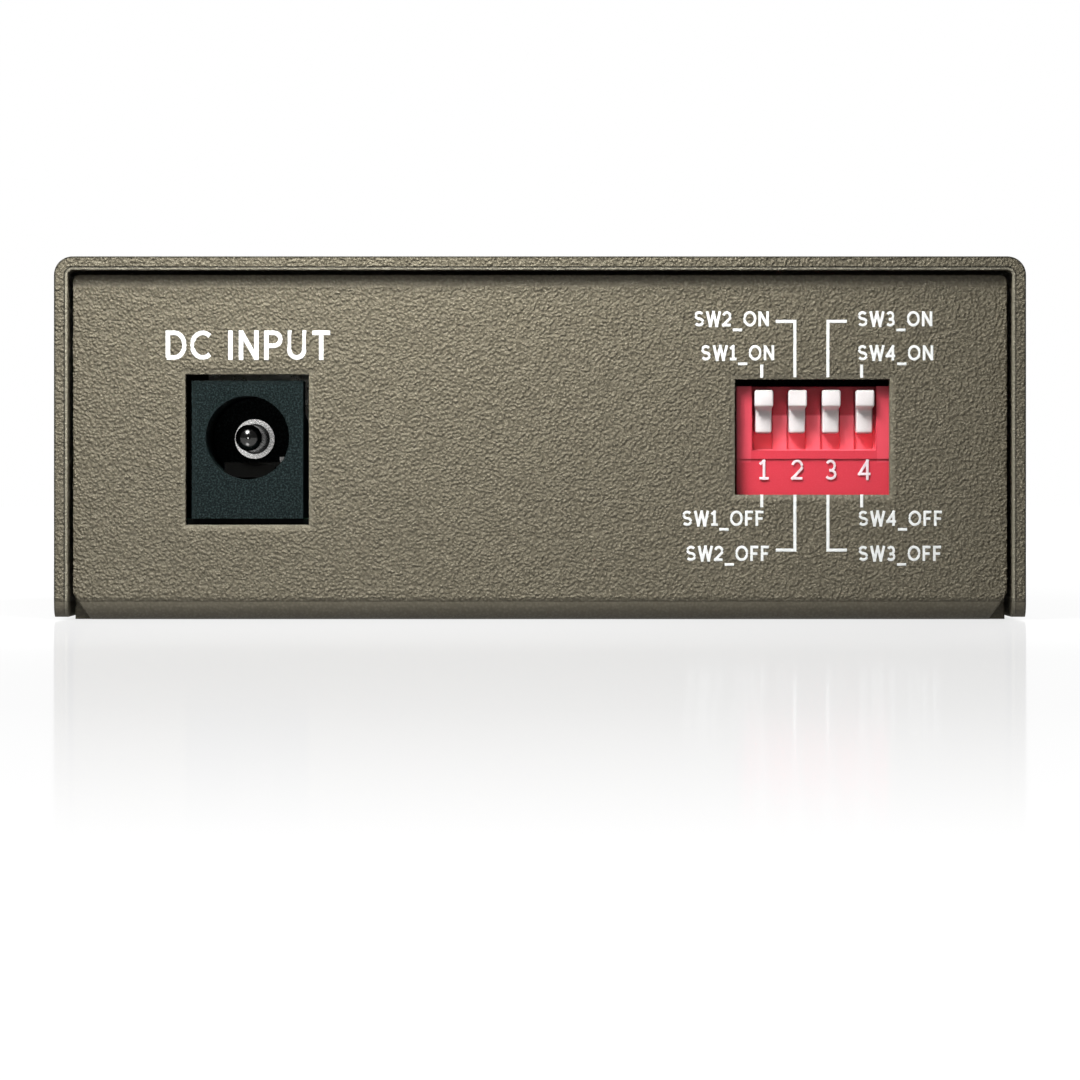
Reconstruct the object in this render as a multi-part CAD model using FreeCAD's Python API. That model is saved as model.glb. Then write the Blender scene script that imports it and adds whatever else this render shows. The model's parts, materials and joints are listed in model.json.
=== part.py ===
import FreeCAD, Part
import math
import os
from FreeCAD import Vector

# Fibre media converter: a small folded steel box with a power socket and a four-way option switch
# at the rear (-Y), and a copper port, a two-fibre transceiver and six lamps at the front (+Y).
# Millimetres, +Z up, origin in the middle of the underside.

# Case
case_width = 73.0
case_depth = 94.5
case_height = 27.3
sheet = 1.0
cover_inside_bend = 0.4
cover_gap = 0.35  # between the cover and the tray, on the sides and on top
cover_lift = 0.2  # the cover's sides stop this far above the underside
cover_corner = 1.1  # rounding of the cover's lower corners
panel_recess = 1.0  # the end panels stand this far inside the cover's ends
tray_inside_bend = 0.5
panel_corner = 0.5
relief_width = 1.3  # slanting notch between an end panel's fold and a side flange
relief_height = 2.0
relief_clearance = 0.4
flange_height = 5.6

# Side vents
vent_count = 8
vent_pitch = 4.8
vent_width = 1.8
vent_length = 12.0
vent_sill = 8.0

# Screws, collars and standoffs
thread = 3.0
thread_clearance = 0.05
hole_clearance = 0.4
cover_screw_length = 5.0
cover_screw_head = 5.5
cover_screw_height = 3.4
cover_screw_y = -22.0
standoff_height = 5.0
standoff_flats = 5.0
standoff_head = 6.4  # across the flats of the hexagon pressed into the floor
press_clearance = 0.02
screw_end_gap = 1.0  # left below a board screw, in its standoff
board_screw_head = 5.5  # across the flats
board_screw_head_height = 2.0
recess_span = 2.6
recess_width = 0.6
recess_depth = 0.9

# Circuit board
board_thickness = 1.6
board_side_gap = 1.3  # to the inside of the side flanges
board_end_gap = 0.5
board_hole_inset = 3.0
screw_inset = 8.75  # of the board's screws, from its rear edge
rest_inset = 30.75  # of the board's front rests, from its front edge
tail_below_board = 1.2
tail_hole_gap = 0.12
seat_gap = 0.03  # between pieces that rest or slide on each other

# Power socket
jack_inset = 14.45  # of its axis, from the left side of the case
jack_width = 8.4
jack_height = 10.4
jack_length = 14.2
jack_setback = 0.4  # of its face, behind the rear panel's face
jack_side_margin = 0.45
jack_end_margin = 0.47
jack_front_block = 3.6
jack_axis_height = 6.1
jack_bore = 6.3
jack_bore_depth = 9.9
jack_back_wall = 1.2
jack_chamber_wall = 1.3
jack_chamber_rise = 2.0  # of the rear chamber, above the axis
jack_pin = 2.0
jack_pin_setback = 1.0
jack_nose = 1.2  # radius of the pin's rounded tip
jack_collar = 3.05
jack_collar_length = 0.4
jack_shank = 1.3  # side of the pin's square end, behind its collar
jack_strip = 0.4  # thickness of the tails
jack_tail_width = 2.2
leaf = 0.35  # thickness of the sleeve spring
leaf_width = 3.8
leaf_drop = 2.02  # of its middle, below the axis
leaf_start = 1.9
leaf_nose = 1.1
leaf_end = 7.8
leaf_slot_gap = 0.1
ear_start = 2.8
ear_length = 1.2
ear_reach = 0.85
contact_wall = 0.85  # left in the socket's side beside the switch contact

# Option switch
switch_inset = 15.8  # of its middle, from the right side of the case
way_count = 4
switch_pitch = 2.54
switch_border = 0.77  # beyond the outer ways, on each side
switch_height = 10.0
switch_depth = 4.6
switch_gap = 0.25  # behind the rear panel
switch_base = 1.2
switch_window_shift = -0.2
switch_window_lap = 0.02
switch_window_sill = 1.8
switch_window_head = 0.5
pad_rise = 0.12
pad_sill = 4.5
trough_wall = 1.17
trough_sill = 5.15
trough_depth = 1.25
switch_front_wall = 1.0
switch_rib = 0.4
switch_frame = 0.6
slider_width = 1.25
slider_height = 3.25
slider_travel = 1.2
slider_gap = 0.1  # each side of the slider in its recess
slider_recess = 0.35
slider_sill = 0.07
slider_stand = 1.0  # of the slider's bar, above the trough's floor
nib_reach = 1.0
nib_width = 1.45
nib_height = 1.25
nib_root = 1.5
stem_width = 0.8
stem_height = 0.8
slider_foot = 0.6
slider_foot_height = 2.4
wiper_strip = 0.15
wiper_width = 1.2
terminal_strip = 0.25
terminal_width = 0.6
terminal_half_gap = 0.55  # between a way's two terminals, on each side of the slider's middle
terminal_reach = 2.2  # length of the lower terminal's flat
terminal_short_reach = 0.6  # length of the upper one's
terminal_row = 2.54
terminal_step = 0.9

# Copper port
port_inset = 14.5  # of its middle, from the left side of the case
port_width = 15.9
port_height = 13.3
port_depth = 18.0
port_reach = 0.6  # of every front connector and lamp, beyond the front panel's face
port_margin = 0.2
shield = 0.25
shield_lip = 1.1
socket_width = 11.8
socket_height = 6.8
socket_depth = 12.0
socket_roof = 2.0  # of the whole port, above the socket
latch_width = 6.3
latch_height = 1.5
catch_width = 3.4
port_floor = 1.4  # of the whole port, below the catch of the latch
socket_wall = 1.2  # between the end of the socket and the insert
shield_tab_length = 2.4
comb_lip = 1.2  # in front of the slots for the wires
insert_width = 10.6
contact_count = 8
contact_pitch = 1.02
contact_wire = 0.36
contact_slot_gap = 0.06
contact_slot_height = 1.0
contact_turn = 2.4  # from the front of the housing back to where the wires turn down
contact_drop = 0.72
contact_dip = 3.2  # of the wires' ends, below the top of the socket
contact_end_gap = 1.2
contact_inset = 1.2  # of the front row of legs, behind the insert's face
contact_row = 2.54

# Fibre transceiver
fibre_width = 25.4
fibre_length = 39.0
fibre_height = 9.8
fibre_wall = 1.2
fibre_pitch = 12.7
fibre_port_width = 9.05
fibre_port_height = 7.45
fibre_port_depth = 13.0
fibre_divider = 1.5
key_width = 2.5
key_height = 0.8
ferrule = 2.5
sleeve_diameter = 4.6
sleeve_length = 7.15
latch_plate = 1.0
arm_reach = 8.0
arm_thickness = 0.8
arm_height = 3.2
arm_spacing = 5.9
hook_length = 1.6
hook_rise = 0.5
can_diameter = 5.6
can_length = 8.0
fibre_pin_count = 9
fibre_pin = 0.5
fibre_pin_pitch = 2.54
fibre_pin_inset = 4.0
inner_board = 1.0
inner_board_height = 2.2  # above the transceiver's base
inner_board_gap = 0.6

# Lamps
lamp_column_count = 2
lamp_row_count = 3
lamp_inset = 7.5  # of the outer column, from the right side of the case
lamp_pitch = 6.8
lamp_low = 2.4
lamp_rise = 3.4
lamp_width = 5.0
lamp_height = 2.0
lamp_length = 5.3
lamp_rim = 0.3
lamp_rim_length = 0.9
lamp_window_gap = 0.15
holder_wall = 0.5
holder_length = 5.0
lead = 0.5
lead_spacing = 1.27  # of each leg from the middle of its lamp
lead_reach = 1.4
lead_row = 2.54

# Board components
chip_size = 14.0
chip_height = 1.6
chip_lead_count = 4  # on each side
chip_lead_pitch = 3.0
chip_lead_width = 0.5
chip_x = -2.0
chip_y = -9.0
package_draft = 0.15  # each side of a moulded package draws in by this much at its top
memory_length = 4.9
memory_width = 3.9
memory_lead_count = 4  # on each side
memory_x = 14.0
memory_y = -18.0
small_lead_pitch = 1.27
small_lead_width = 0.42
lead_strip = 0.2
lead_slope = 0.8
lead_foot = 1.6
transformer_offset = 1.0  # to the right of the copper port's middle
transformer_gap = 7.65  # behind the copper port
transformer_width = 12.7
transformer_length = 7.4
transformer_height = 5.6
transformer_lead_count = 4  # on each side
transformer_lead_height = 1.87
crystal_x = 15.0
crystal_y = -8.0
crystal_width = 8.0
crystal_length = 4.5
crystal_height = 1.7
capacitor_diameter = 6.3
capacitor_height = 7.7
capacitor_base = 1.6
capacitor_x = -8.0
capacitor_inset = 6.75  # of its middle, from the board's rear edge
inductor_size = 7.0
inductor_height = 4.0
inductor_corner = 1.17
inductor_x = 6.5
inductor_inset = 8.75
regulator_x = -12.0
regulator_inset = 18.75
regulator_width = 6.5
regulator_length = 6.1
regulator_height = 2.3
regulator_tab_width = 5.4
regulator_tab_reach = 4.6
regulator_lead_pitch = 2.28
regulator_lead_width = 0.8
regulator_lead_reach = 5.0
diode_offset = 1.95  # to the left of the power socket's axis
diode_inset = 20.75
diode_width = 4.3
diode_length = 2.6
diode_height = 2.1
resistor_rows = ((-15.0, -16.0), (22.0, -22.0))  # first place of each row, across and along
resistor_count = 3
resistor_pitch = 3.5
resistor_size = (2.0, 1.25, 0.5)
chip_capacitor_rows = ((-21.0, -14.0), (22.0, -6.0))
chip_capacitor_count = 2
chip_capacitor_pitch = 3.0
chip_capacitor_size = (1.6, 0.8, 0.8)

# Worked out from the above
inner_width = case_width - 2 * sheet
tray_width = inner_width - 2 * cover_gap
panel_top = case_height - sheet - cover_gap
rear_face = -case_depth / 2 + panel_recess
rear_inside = rear_face + sheet
front_face = case_depth / 2 - panel_recess
front_inside = front_face - sheet
port_face = front_face + port_reach
flange_inside = tray_width / 2 - sheet
board_bottom = sheet + standoff_height
board_top = board_bottom + board_thickness
board_half_width = flange_inside - board_side_gap
board_rear = rear_inside + board_end_gap
board_front = front_inside - board_end_gap
tail_bottom = board_bottom - tail_below_board
jack_x = -case_width / 2 + jack_inset
switch_x = case_width / 2 - switch_inset
port_x = -case_width / 2 + port_inset
holder_width = lamp_width + 2 * (lamp_rim + holder_wall)
lamp_columns = [case_width / 2 - lamp_inset - number * lamp_pitch for number in range(lamp_column_count)]
fibre_x = (port_x + port_width / 2 + min(lamp_columns) - holder_width / 2) / 2  # midway between those
screw_places = [(side * (board_half_width - board_hole_inset), board_rear + screw_inset) for side in (-1, 1)]
rest_places = [(side * (board_half_width - board_hole_inset), board_front - rest_inset) for side in (-1, 1)]


def box(x0, x1, y0, y1, z0, z1):
    return Part.makeBox(x1 - x0, y1 - y0, z1 - z0, Vector(x0, y0, z0))


def block(x, width, y0, y1, z0, z1):
    """Box whose width is centred on x."""
    return box(x - width / 2, x + width / 2, y0, y1, z0, z1)


def rod(diameter, start, end):
    start, end = Vector(*start), Vector(*end)
    return Part.makeCylinder(diameter / 2, (end - start).Length, start, end - start)


def cone(start_diameter, end_diameter, start, end):
    start, end = Vector(*start), Vector(*end)
    length = (end - start).Length
    return Part.makeCone(start_diameter / 2, end_diameter / 2, length, start, end - start)


def prism(points, direction):
    """Solid swept straight from a closed flat outline."""
    corners = [Vector(*point) for point in points]
    return Part.Face(Part.makePolygon(corners + corners[:1])).extrude(Vector(*direction))


def hexagon(across_flats, x, y, z0, z1):
    radius = across_flats / math.sqrt(3)
    turns = [math.radians(60 * turn) for turn in range(6)]
    corners = [(x + radius * math.cos(t), y + radius * math.sin(t), z0) for t in turns]
    return prism(corners, (0, 0, z1 - z0))


def fused(solids):
    first, *rest = solids
    return first.multiFuse(rest).removeSplitter() if rest else first


def bent_strip(path, thickness, x, width, along_x=False):
    """Strip folded along a path of (y, z) points, or of (x, z) points when it runs along X.

    The path is the middle of the strip's thickness, and the corners are mitred.
    """
    left, right = [], []
    for index, (u, z) in enumerate(path):
        before = path[index - 1] if index else None
        after = path[index + 1] if index + 1 < len(path) else None
        normals = []
        for start, end in ((before, (u, z)), ((u, z), after)):
            if start and end:
                length = math.dist(start, end)
                normals.append(((start[1] - end[1]) / length, (end[0] - start[0]) / length))
        across = [sum(parts) / len(normals) for parts in zip(*normals)]
        scale = thickness / 2 / (across[0] ** 2 + across[1] ** 2)
        left.append((u + across[0] * scale, z + across[1] * scale))
        right.append((u - across[0] * scale, z - across[1] * scale))
    outline = left + right[::-1]
    if along_x:
        return prism([(u, x - width / 2, z) for u, z in outline], (0, width, 0))
    return prism([(x - width / 2, u, z) for u, z in outline], (width, 0, 0))


def cross_recess(top):
    """Cutter for a cross drive on the Z axis, with its mouth at top."""
    half = recess_width / 2
    blade = block(0, recess_span, -half, half, top - recess_depth, top)
    return fused([blade, blade.rotated(Vector(), Vector(0, 0, 1), 90)])


def placed(shape, position, direction):
    """Copy of a shape with its Z axis turned to a direction and its origin moved to a position."""
    copy = shape.copy()
    turn = FreeCAD.Rotation(Vector(0, 0, 1), Vector(*direction))
    copy.Placement = FreeCAD.Placement(Vector(*position), turn)
    return copy


# Case


def rounded_block(width, length, height, radius):
    """Box standing on z = 0 with its two lower long edges rounded."""
    body = block(0, width, -length / 2, length / 2, 0, height)
    folds = [e for e in body.Edges if e.BoundBox.ZMax < height / 2 and e.BoundBox.XLength < width / 2]
    return body.makeFillet(radius, folds)


def channel(width, length, height, inside_bend):
    """Sheet folded into a floor and two upright sides, open above and at both ends."""
    outside = rounded_block(width, length, height, inside_bend + sheet)
    inside = rounded_block(width - 2 * sheet, length, height, inside_bend)
    return outside.cut(inside.translated(Vector(0, 0, sheet)))


def cover_screw_places():
    """Side, and place across and along, of the screw in each side of the cover."""
    return [(side, side * case_width / 2, cover_screw_y) for side in (-1, 1)]


def vent_slot(y):
    """Cutter for the facing pair of vents at one place along the case."""
    half = vent_width / 2
    return block(0, 2 * case_width, y - half, y + half, vent_sill, vent_sill + vent_length)


def top_cover():
    body = channel(case_width, case_depth, case_height - cover_lift, cover_inside_bend)
    body = body.rotated(Vector(), Vector(0, 1, 0), 180).translated(Vector(0, 0, case_height))
    corners = [
        edge
        for edge in body.Edges
        if edge.BoundBox.ZMax < cover_lift + sheet / 2
        and edge.BoundBox.YLength < sheet / 2
        and abs(edge.BoundBox.Center.y) > case_depth / 2 - sheet / 2
    ]
    body = body.makeFillet(cover_corner, corners)
    middle = (vent_count - 1) / 2
    cutters = [vent_slot((number - middle) * vent_pitch) for number in range(vent_count)]
    for side, x, y in cover_screw_places():
        mouth, end = [(place, y, cover_screw_height) for place in (x, x - side * sheet)]
        cutters.append(cone(cover_screw_head, cover_screw_head - 2 * sheet, mouth, end))
    return body.cut(cutters)


def relief_notches():
    """Cutters that free the end panels' folds from the side flanges."""
    depth = tray_inside_bend + sheet + relief_clearance
    notches = []
    for side in (-1, 1):
        edge = side * tray_width / 2
        outside = side * (tray_width / 2 + sheet)
        low = (side * (tray_width / 2 - relief_width), -sheet)
        outline = [low, (side * (tray_width / 2 - relief_width), 0), (edge, relief_height)]
        outline += [(outside, relief_height), (outside, -sheet)]
        for start, length in ((rear_face - sheet, depth + sheet), (front_face + sheet, -depth - sheet)):
            notches.append(prism([(x, start, z) for x, z in outline], (0, length, 0)))
    return notches


def jack_window():
    low = board_top - jack_end_margin
    high = board_top + jack_height + jack_end_margin
    return block(jack_x, jack_width + 2 * jack_side_margin, rear_face - sheet, rear_inside + sheet, low, high)


def switch_window():
    width = switch_width() - 2 * switch_window_lap
    low = board_top + switch_window_sill
    high = board_top + switch_height + switch_window_head
    x = switch_x + switch_window_shift
    return block(x, width, rear_face - sheet, rear_inside + sheet, low, high)


def port_windows():
    """Cutters for the copper port and the transceiver in the front panel."""
    windows = []
    for x, width, height in ((port_x, port_width, port_height), (fibre_x, fibre_width, fibre_height)):
        low, high = board_top - port_margin, board_top + height + port_margin
        windows.append(block(x, width + 2 * port_margin, front_inside - sheet, front_face + sheet, low, high))
    return windows


def lamp_windows():
    half_height = lamp_height / 2 + lamp_window_gap
    width = lamp_width + 2 * lamp_window_gap
    return [
        block(x, width, front_inside - sheet, front_face + sheet, z - half_height, z + half_height)
        for x, z in lamp_places()
    ]


def bottom_tray():
    length = front_face - rear_face
    lengthwise = channel(length, tray_width, panel_top, tray_inside_bend)
    lengthwise = lengthwise.rotated(Vector(), Vector(0, 0, 1), 90)
    top_corners = [
        edge
        for edge in lengthwise.Edges
        if edge.BoundBox.ZMin > panel_top - sheet / 2
        and edge.BoundBox.XLength < sheet / 2
        and edge.BoundBox.YLength > sheet / 2
    ]
    lengthwise = lengthwise.makeFillet(panel_corner, top_corners).cut(relief_notches())
    flange_length = length - 2 * (tray_inside_bend + sheet + relief_clearance)
    flanges = channel(tray_width, flange_length, flange_height, tray_inside_bend)
    cutters = [jack_window(), switch_window()] + port_windows() + lamp_windows()
    for side, x, y in cover_screw_places():
        outer, inner = side * (tray_width / 2 + sheet), side * (flange_inside - sheet)
        ends = [(end, y, cover_screw_height) for end in (outer, inner)]
        cutters.append(rod(thread + 2 * thread_clearance, *ends))
    for x, y in screw_places + rest_places:
        cutters.append(hexagon(standoff_head + 2 * press_clearance, x, y, 0, sheet))
    return fused([lengthwise, flanges]).cut(cutters)


def cover_screws():
    head_length = (cover_screw_head - thread) / 2
    neck = -head_length + seat_gap
    head = cone(cover_screw_head - 2 * seat_gap, thread, (0, 0, 0), (0, 0, neck))
    shank = rod(thread, (0, 0, neck), (0, 0, -cover_screw_length))
    screw = head.fuse(shank).removeSplitter().cut(cross_recess(0))
    return [placed(screw, (x, y, cover_screw_height), (side, 0, 0)) for side, x, y in cover_screw_places()]


def board_post(x, y):
    """Hexagonal post with a wider head pressed into the tray's floor, flush with the underside."""
    head = hexagon(standoff_head, x, y, 0, sheet)
    return head.fuse(hexagon(standoff_flats, x, y, sheet, board_bottom)).removeSplitter()


def board_standoffs():
    standoffs = []
    for x, y in screw_places:
        hole = rod(thread + 2 * thread_clearance, (x, y, sheet), (x, y, board_bottom))
        standoffs.append(board_post(x, y).cut(hole))
    return standoffs


def board_rests():
    return [board_post(x, y) for x, y in rest_places]


def board_screws():
    """Hexagon-headed screws, heads on the board."""
    head = hexagon(board_screw_head, 0, 0, 0, board_screw_head_height)
    shank = rod(thread, (0, 0, 0), (0, 0, screw_end_gap - board_thickness - standoff_height))
    screw = head.fuse(shank).removeSplitter()
    return [placed(screw, (x, y, board_top), (0, 0, 1)) for x, y in screw_places]


# Circuit board


def tail_hole(x, y, width, thickness):
    """Cutter for a flat tail that goes down through the board."""
    half = thickness / 2 + tail_hole_gap
    return block(x, width + 2 * tail_hole_gap, y - half, y + half, board_bottom, board_top)


def circuit_board():
    board = block(0, 2 * board_half_width, board_rear, board_front, board_bottom, board_top)
    cutters = [rod(thread + hole_clearance, (x, y, board_bottom), (x, y, board_top)) for x, y in screw_places]
    cutters += [tail_hole(*tail) for tail in jack_tails() + switch_tails() + lamp_tails() + contact_tails()]
    cutters += [tail_hole(x, y, fibre_pin, fibre_pin) for x, y in fibre_pin_places()]
    cutters += [tail_hole(*tab) for tab in shield_tabs()]
    return board.cut(cutters)


# Power socket

jack_face = rear_face + jack_setback
jack_axis = board_top + jack_axis_height
jack_bore_end = jack_face + jack_bore_depth
jack_chamber = jack_bore_end + jack_back_wall
jack_strip_y = jack_chamber + seat_gap + jack_strip / 2
leaf_tail_y = jack_face + leaf_end
leaf_z = jack_axis - leaf_drop
ear_y = jack_face + ear_start + ear_length / 2
contact_x = jack_x + jack_width / 2 - contact_wall - jack_strip / 2


def jack_tails():
    """Place, width and thickness of each tail of the power socket."""
    pin_tail = (jack_x, jack_strip_y, jack_tail_width, jack_strip)
    leaf_tail = (jack_x, leaf_tail_y, jack_tail_width, leaf)
    contact_tail = (contact_x, ear_y, jack_strip, ear_length)
    return [pin_tail, leaf_tail, contact_tail]


def jack_housing():
    front_end = jack_face + jack_front_block
    back = jack_face + jack_length
    front = block(jack_x, jack_width, jack_face, front_end, board_top, board_top + jack_height)
    lower = block(jack_x, jack_width, front_end, back, board_top, jack_axis)
    barrel = rod(jack_width, (jack_x, front_end, jack_axis), (jack_x, back, jack_axis))
    body = fused([front, lower, barrel])
    bore = rod(jack_bore, (jack_x, jack_face, jack_axis), (jack_x, jack_bore_end, jack_axis))
    pin_hole = jack_shank_block(press_clearance, jack_bore_end, jack_chamber)
    chamber_width = jack_width - 2 * jack_chamber_wall
    chamber = block(jack_x, chamber_width, jack_chamber, back, board_top, jack_axis + jack_chamber_rise)
    slot_end = leaf_tail_y + leaf / 2 + press_clearance
    slot_width = leaf_width + 2 * leaf_slot_gap
    slot_start = jack_face + leaf_start - leaf
    leaf_slot = block(jack_x, slot_width, slot_start, slot_end, board_top, leaf_z - leaf / 2)
    contact_slot = box(
        jack_x,
        contact_x + jack_strip / 2 + press_clearance,
        ear_y - ear_length / 2 - leaf_slot_gap,
        ear_y + ear_length / 2 + leaf_slot_gap,
        board_top,
        leaf_z + leaf / 2 + jack_strip + leaf_slot_gap,
    )
    return body.cut([bore, pin_hole, chamber, leaf_slot, contact_slot])


def jack_shank_block(grow, y0, y1):
    half = jack_shank / 2 + grow
    return block(jack_x, 2 * half, y0, y1, jack_axis - half, jack_axis + half)


def jack_centre_pin():
    """Turned pin with a domed nose and a collar, and a square end that reaches its tail strip."""
    tip = jack_face + jack_pin_setback
    seat = jack_bore_end - press_clearance
    radius, collar_radius = jack_pin / 2, jack_collar / 2
    turn = math.asin(radius / jack_nose)
    dome = [(jack_nose * math.sin(t), tip + jack_nose * (1 - math.cos(t))) for t in (0, turn / 2, turn)]
    steps = [dome[-1], (radius, seat - jack_collar_length), (collar_radius, seat - jack_collar_length)]
    steps += [(collar_radius, seat), (0, seat), dome[0]]

    def at(point):
        return Vector(jack_x + point[0], point[1], jack_axis)

    edges = [Part.Arc(*map(at, dome)).toShape()]
    edges += [Part.makeLine(at(start), at(end)) for start, end in zip(steps, steps[1:])]
    turned = Part.Face(Part.Wire(edges)).revolve(Vector(jack_x, 0, jack_axis), Vector(0, 1, 0), 360)
    return turned.fuse(jack_shank_block(0, seat, jack_strip_y - jack_strip / 2 - press_clearance))


def jack_pin_tail():
    top = jack_axis + jack_tail_width / 2
    y0, y1 = jack_strip_y - jack_strip / 2, jack_strip_y + jack_strip / 2
    return block(jack_x, jack_tail_width, y0, y1, tail_bottom, top)


def jack_sleeve_spring():
    """Leaf along the underside of the bore, with a turned-down nose, an ear at one side and a tail."""
    nose = (jack_face + leaf_start, leaf_z - leaf_nose)
    front = (jack_face + leaf_start + leaf_nose, leaf_z)
    path = [nose, front, (leaf_tail_y, leaf_z), (leaf_tail_y, board_top)]
    strip = bent_strip(path, leaf, jack_x, leaf_width)
    half, half_ear = leaf / 2, ear_length / 2
    tail = block(jack_x, jack_tail_width, leaf_tail_y - half, leaf_tail_y + half, tail_bottom, board_top)
    ear_end = contact_x - jack_strip / 2 - seat_gap
    ear = box(jack_x, ear_end, ear_y - half_ear, ear_y + half_ear, leaf_z - half, leaf_z + half)
    return fused([strip, tail, ear])


def jack_switch_contact():
    """Upright strip in the socket's side whose folded top rests on the spring's ear."""
    top = leaf_z + leaf / 2 + seat_gap + jack_strip / 2
    path = [(contact_x - ear_reach, top), (contact_x, top), (contact_x, tail_bottom)]
    return bent_strip(path, jack_strip, ear_y, ear_length, along_x=True)


# Option switch

switch_face = rear_inside + switch_gap
switch_front = switch_face + pad_rise
trough_floor = switch_face + trough_depth
recess_floor = trough_floor + slider_recess
switch_cavity = trough_floor + switch_front_wall
switch_back = switch_face + switch_depth
switch_base_back = switch_back + switch_base
recess_low = board_top + trough_sill + slider_sill
recess_height = slider_height + slider_travel + 2 * seat_gap
slider_low = recess_low + recess_height - seat_gap - slider_height
slider_middle = slider_low + slider_height / 2
terminal_back = switch_base_back + terminal_step


def switch_width():
    return way_count * switch_pitch + 2 * switch_border


def way_x(way):
    """Middle of a way, counted from 0 at the left."""
    return switch_x + (way - (way_count - 1) / 2) * switch_pitch


def switch_tails():
    rows = [terminal_back, terminal_back + terminal_row]
    return [(way_x(way), y, terminal_width, terminal_strip) for way in range(way_count) for y in rows]


def switch_housing():
    """Moulded shell: raised side borders, open trough, a recess and a stem slot for each slider."""
    width = switch_width()
    top = board_top + switch_height
    body = block(switch_x, width, switch_front, switch_back, board_top, top)
    pads = block(switch_x, width, switch_face, switch_front, board_top + pad_sill, top)
    trough_width = width - 2 * trough_wall
    cutters = [block(switch_x, trough_width, switch_face, trough_floor, board_top + trough_sill, top)]
    stem_low = slider_middle - slider_travel - stem_height / 2 - seat_gap
    stem_high = slider_middle + stem_height / 2 + seat_gap
    recess, stem_slot = slider_width + 2 * slider_gap, stem_width + 2 * slider_gap
    cell, cell_low, cell_top = switch_pitch - switch_rib, board_top + switch_frame, top - switch_frame
    for way in range(way_count):
        x = way_x(way)
        cutters.append(block(x, recess, trough_floor, recess_floor, recess_low, recess_low + recess_height))
        cutters.append(block(x, stem_slot, recess_floor, switch_cavity, stem_low, stem_high))
        cutters.append(block(x, cell, switch_cavity, switch_back, cell_low, cell_top))
    return body.fuse(pads).removeSplitter().cut(cutters)


def switch_slider(way):
    """White slider in its upper position: bar with a flared nib, a stem and a foot inside the shell."""
    x = way_x(way)
    bar_face = trough_floor - slider_stand
    slider_top = slider_low + slider_height
    bar = block(x, slider_width, bar_face, recess_floor - seat_gap, slider_low, slider_top)
    root = rectangle_across_y(x, slider_width, bar_face, slider_top - nib_root, slider_top)
    tip = rectangle_across_y(x, nib_width, bar_face - nib_reach, slider_top - nib_height, slider_top)
    nib = Part.makeLoft([root, tip], True)
    stem_low, stem_high = slider_middle - stem_height / 2, slider_middle + stem_height / 2
    foot_front = switch_cavity + seat_gap
    stem = block(x, stem_width, recess_floor - seat_gap, foot_front, stem_low, stem_high)
    foot_width = switch_pitch - switch_rib - 2 * slider_gap
    foot_low = slider_middle - slider_foot_height / 2
    foot = block(x, foot_width, foot_front, foot_front + slider_foot, foot_low, foot_low + slider_foot_height)
    return fused([bar, nib, stem, foot])


def rectangle_across_y(x, width, y, z0, z1):
    corners = [(x - width / 2, z0), (x + width / 2, z0), (x + width / 2, z1), (x - width / 2, z1)]
    return Part.makePolygon([Vector(cx, y, cz) for cx, cz in corners + corners[:1]])


def switch_wiper(way):
    """Bowed bridge between the slider's foot and the terminals."""
    crest = switch_back - terminal_strip - seat_gap - wiper_strip
    start = switch_cavity + 2 * seat_gap + slider_foot + wiper_strip
    reach = slider_foot_height / 2 - wiper_strip
    path = [(crest, slider_middle + reach), (start, slider_middle), (crest, slider_middle - reach)]
    return bent_strip(path, wiper_strip, way_x(way), wiper_width)


def terminal_paths():
    """Paths of one way's two terminals, in (y, z): a flat before the base, out through it and down."""
    flat = switch_back - terminal_strip / 2
    lower, upper = slider_middle - terminal_half_gap, slider_middle + terminal_half_gap
    paths = []
    for near, far, leg in (
        (lower, lower - terminal_reach, terminal_back),
        (upper, upper + terminal_short_reach, terminal_back + terminal_row),
    ):
        paths.append([(flat, near), (flat, far), (leg, far), (leg, tail_bottom)])
    return paths


def switch_terminals():
    return [
        bent_strip(path, terminal_strip, way_x(way), terminal_width)
        for way in range(way_count)
        for path in terminal_paths()
    ]


def switch_base_plate():
    top = board_top + switch_height
    plate = block(switch_x, switch_width(), switch_back, switch_base_back, board_top, top)
    half, width = terminal_strip / 2 + press_clearance, terminal_width + 2 * press_clearance
    for way in range(way_count):
        for path in terminal_paths():
            z = path[1][1]
            plate = plate.cut(block(way_x(way), width, switch_back, switch_base_back, z - half, z + half))
    return plate


# Copper port

port_back = port_face - port_depth
socket_end = port_face - socket_depth
socket_top = board_top + port_height - socket_roof
socket_low = socket_top - socket_height
catch_low = board_top + port_floor
contact_top = socket_top + contact_slot_height - contact_wire / 2 - contact_slot_gap
insert_front = socket_end - socket_wall
contact_leg_y = insert_front - contact_wire - contact_inset


def contact_x_places():
    middle = (contact_count - 1) / 2
    return [port_x + (number - middle) * contact_pitch for number in range(contact_count)]


def contact_legs():
    """Place across and along of each contact wire's leg; neighbours stand in two rows."""
    rows = (contact_leg_y, contact_leg_y - contact_row)
    return [(x, rows[number % 2]) for number, x in enumerate(contact_x_places())]


def contact_tails():
    return [(x, y, contact_wire, contact_wire) for x, y in contact_legs()]


def shield_tabs():
    """Place, width and thickness of the shield's two board tabs."""
    y = (port_face + port_back) / 2
    tab_x = port_width / 2 - shield / 2
    return [(port_x + side * tab_x, y, shield, shield_tab_length) for side in (-1, 1)]


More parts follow.
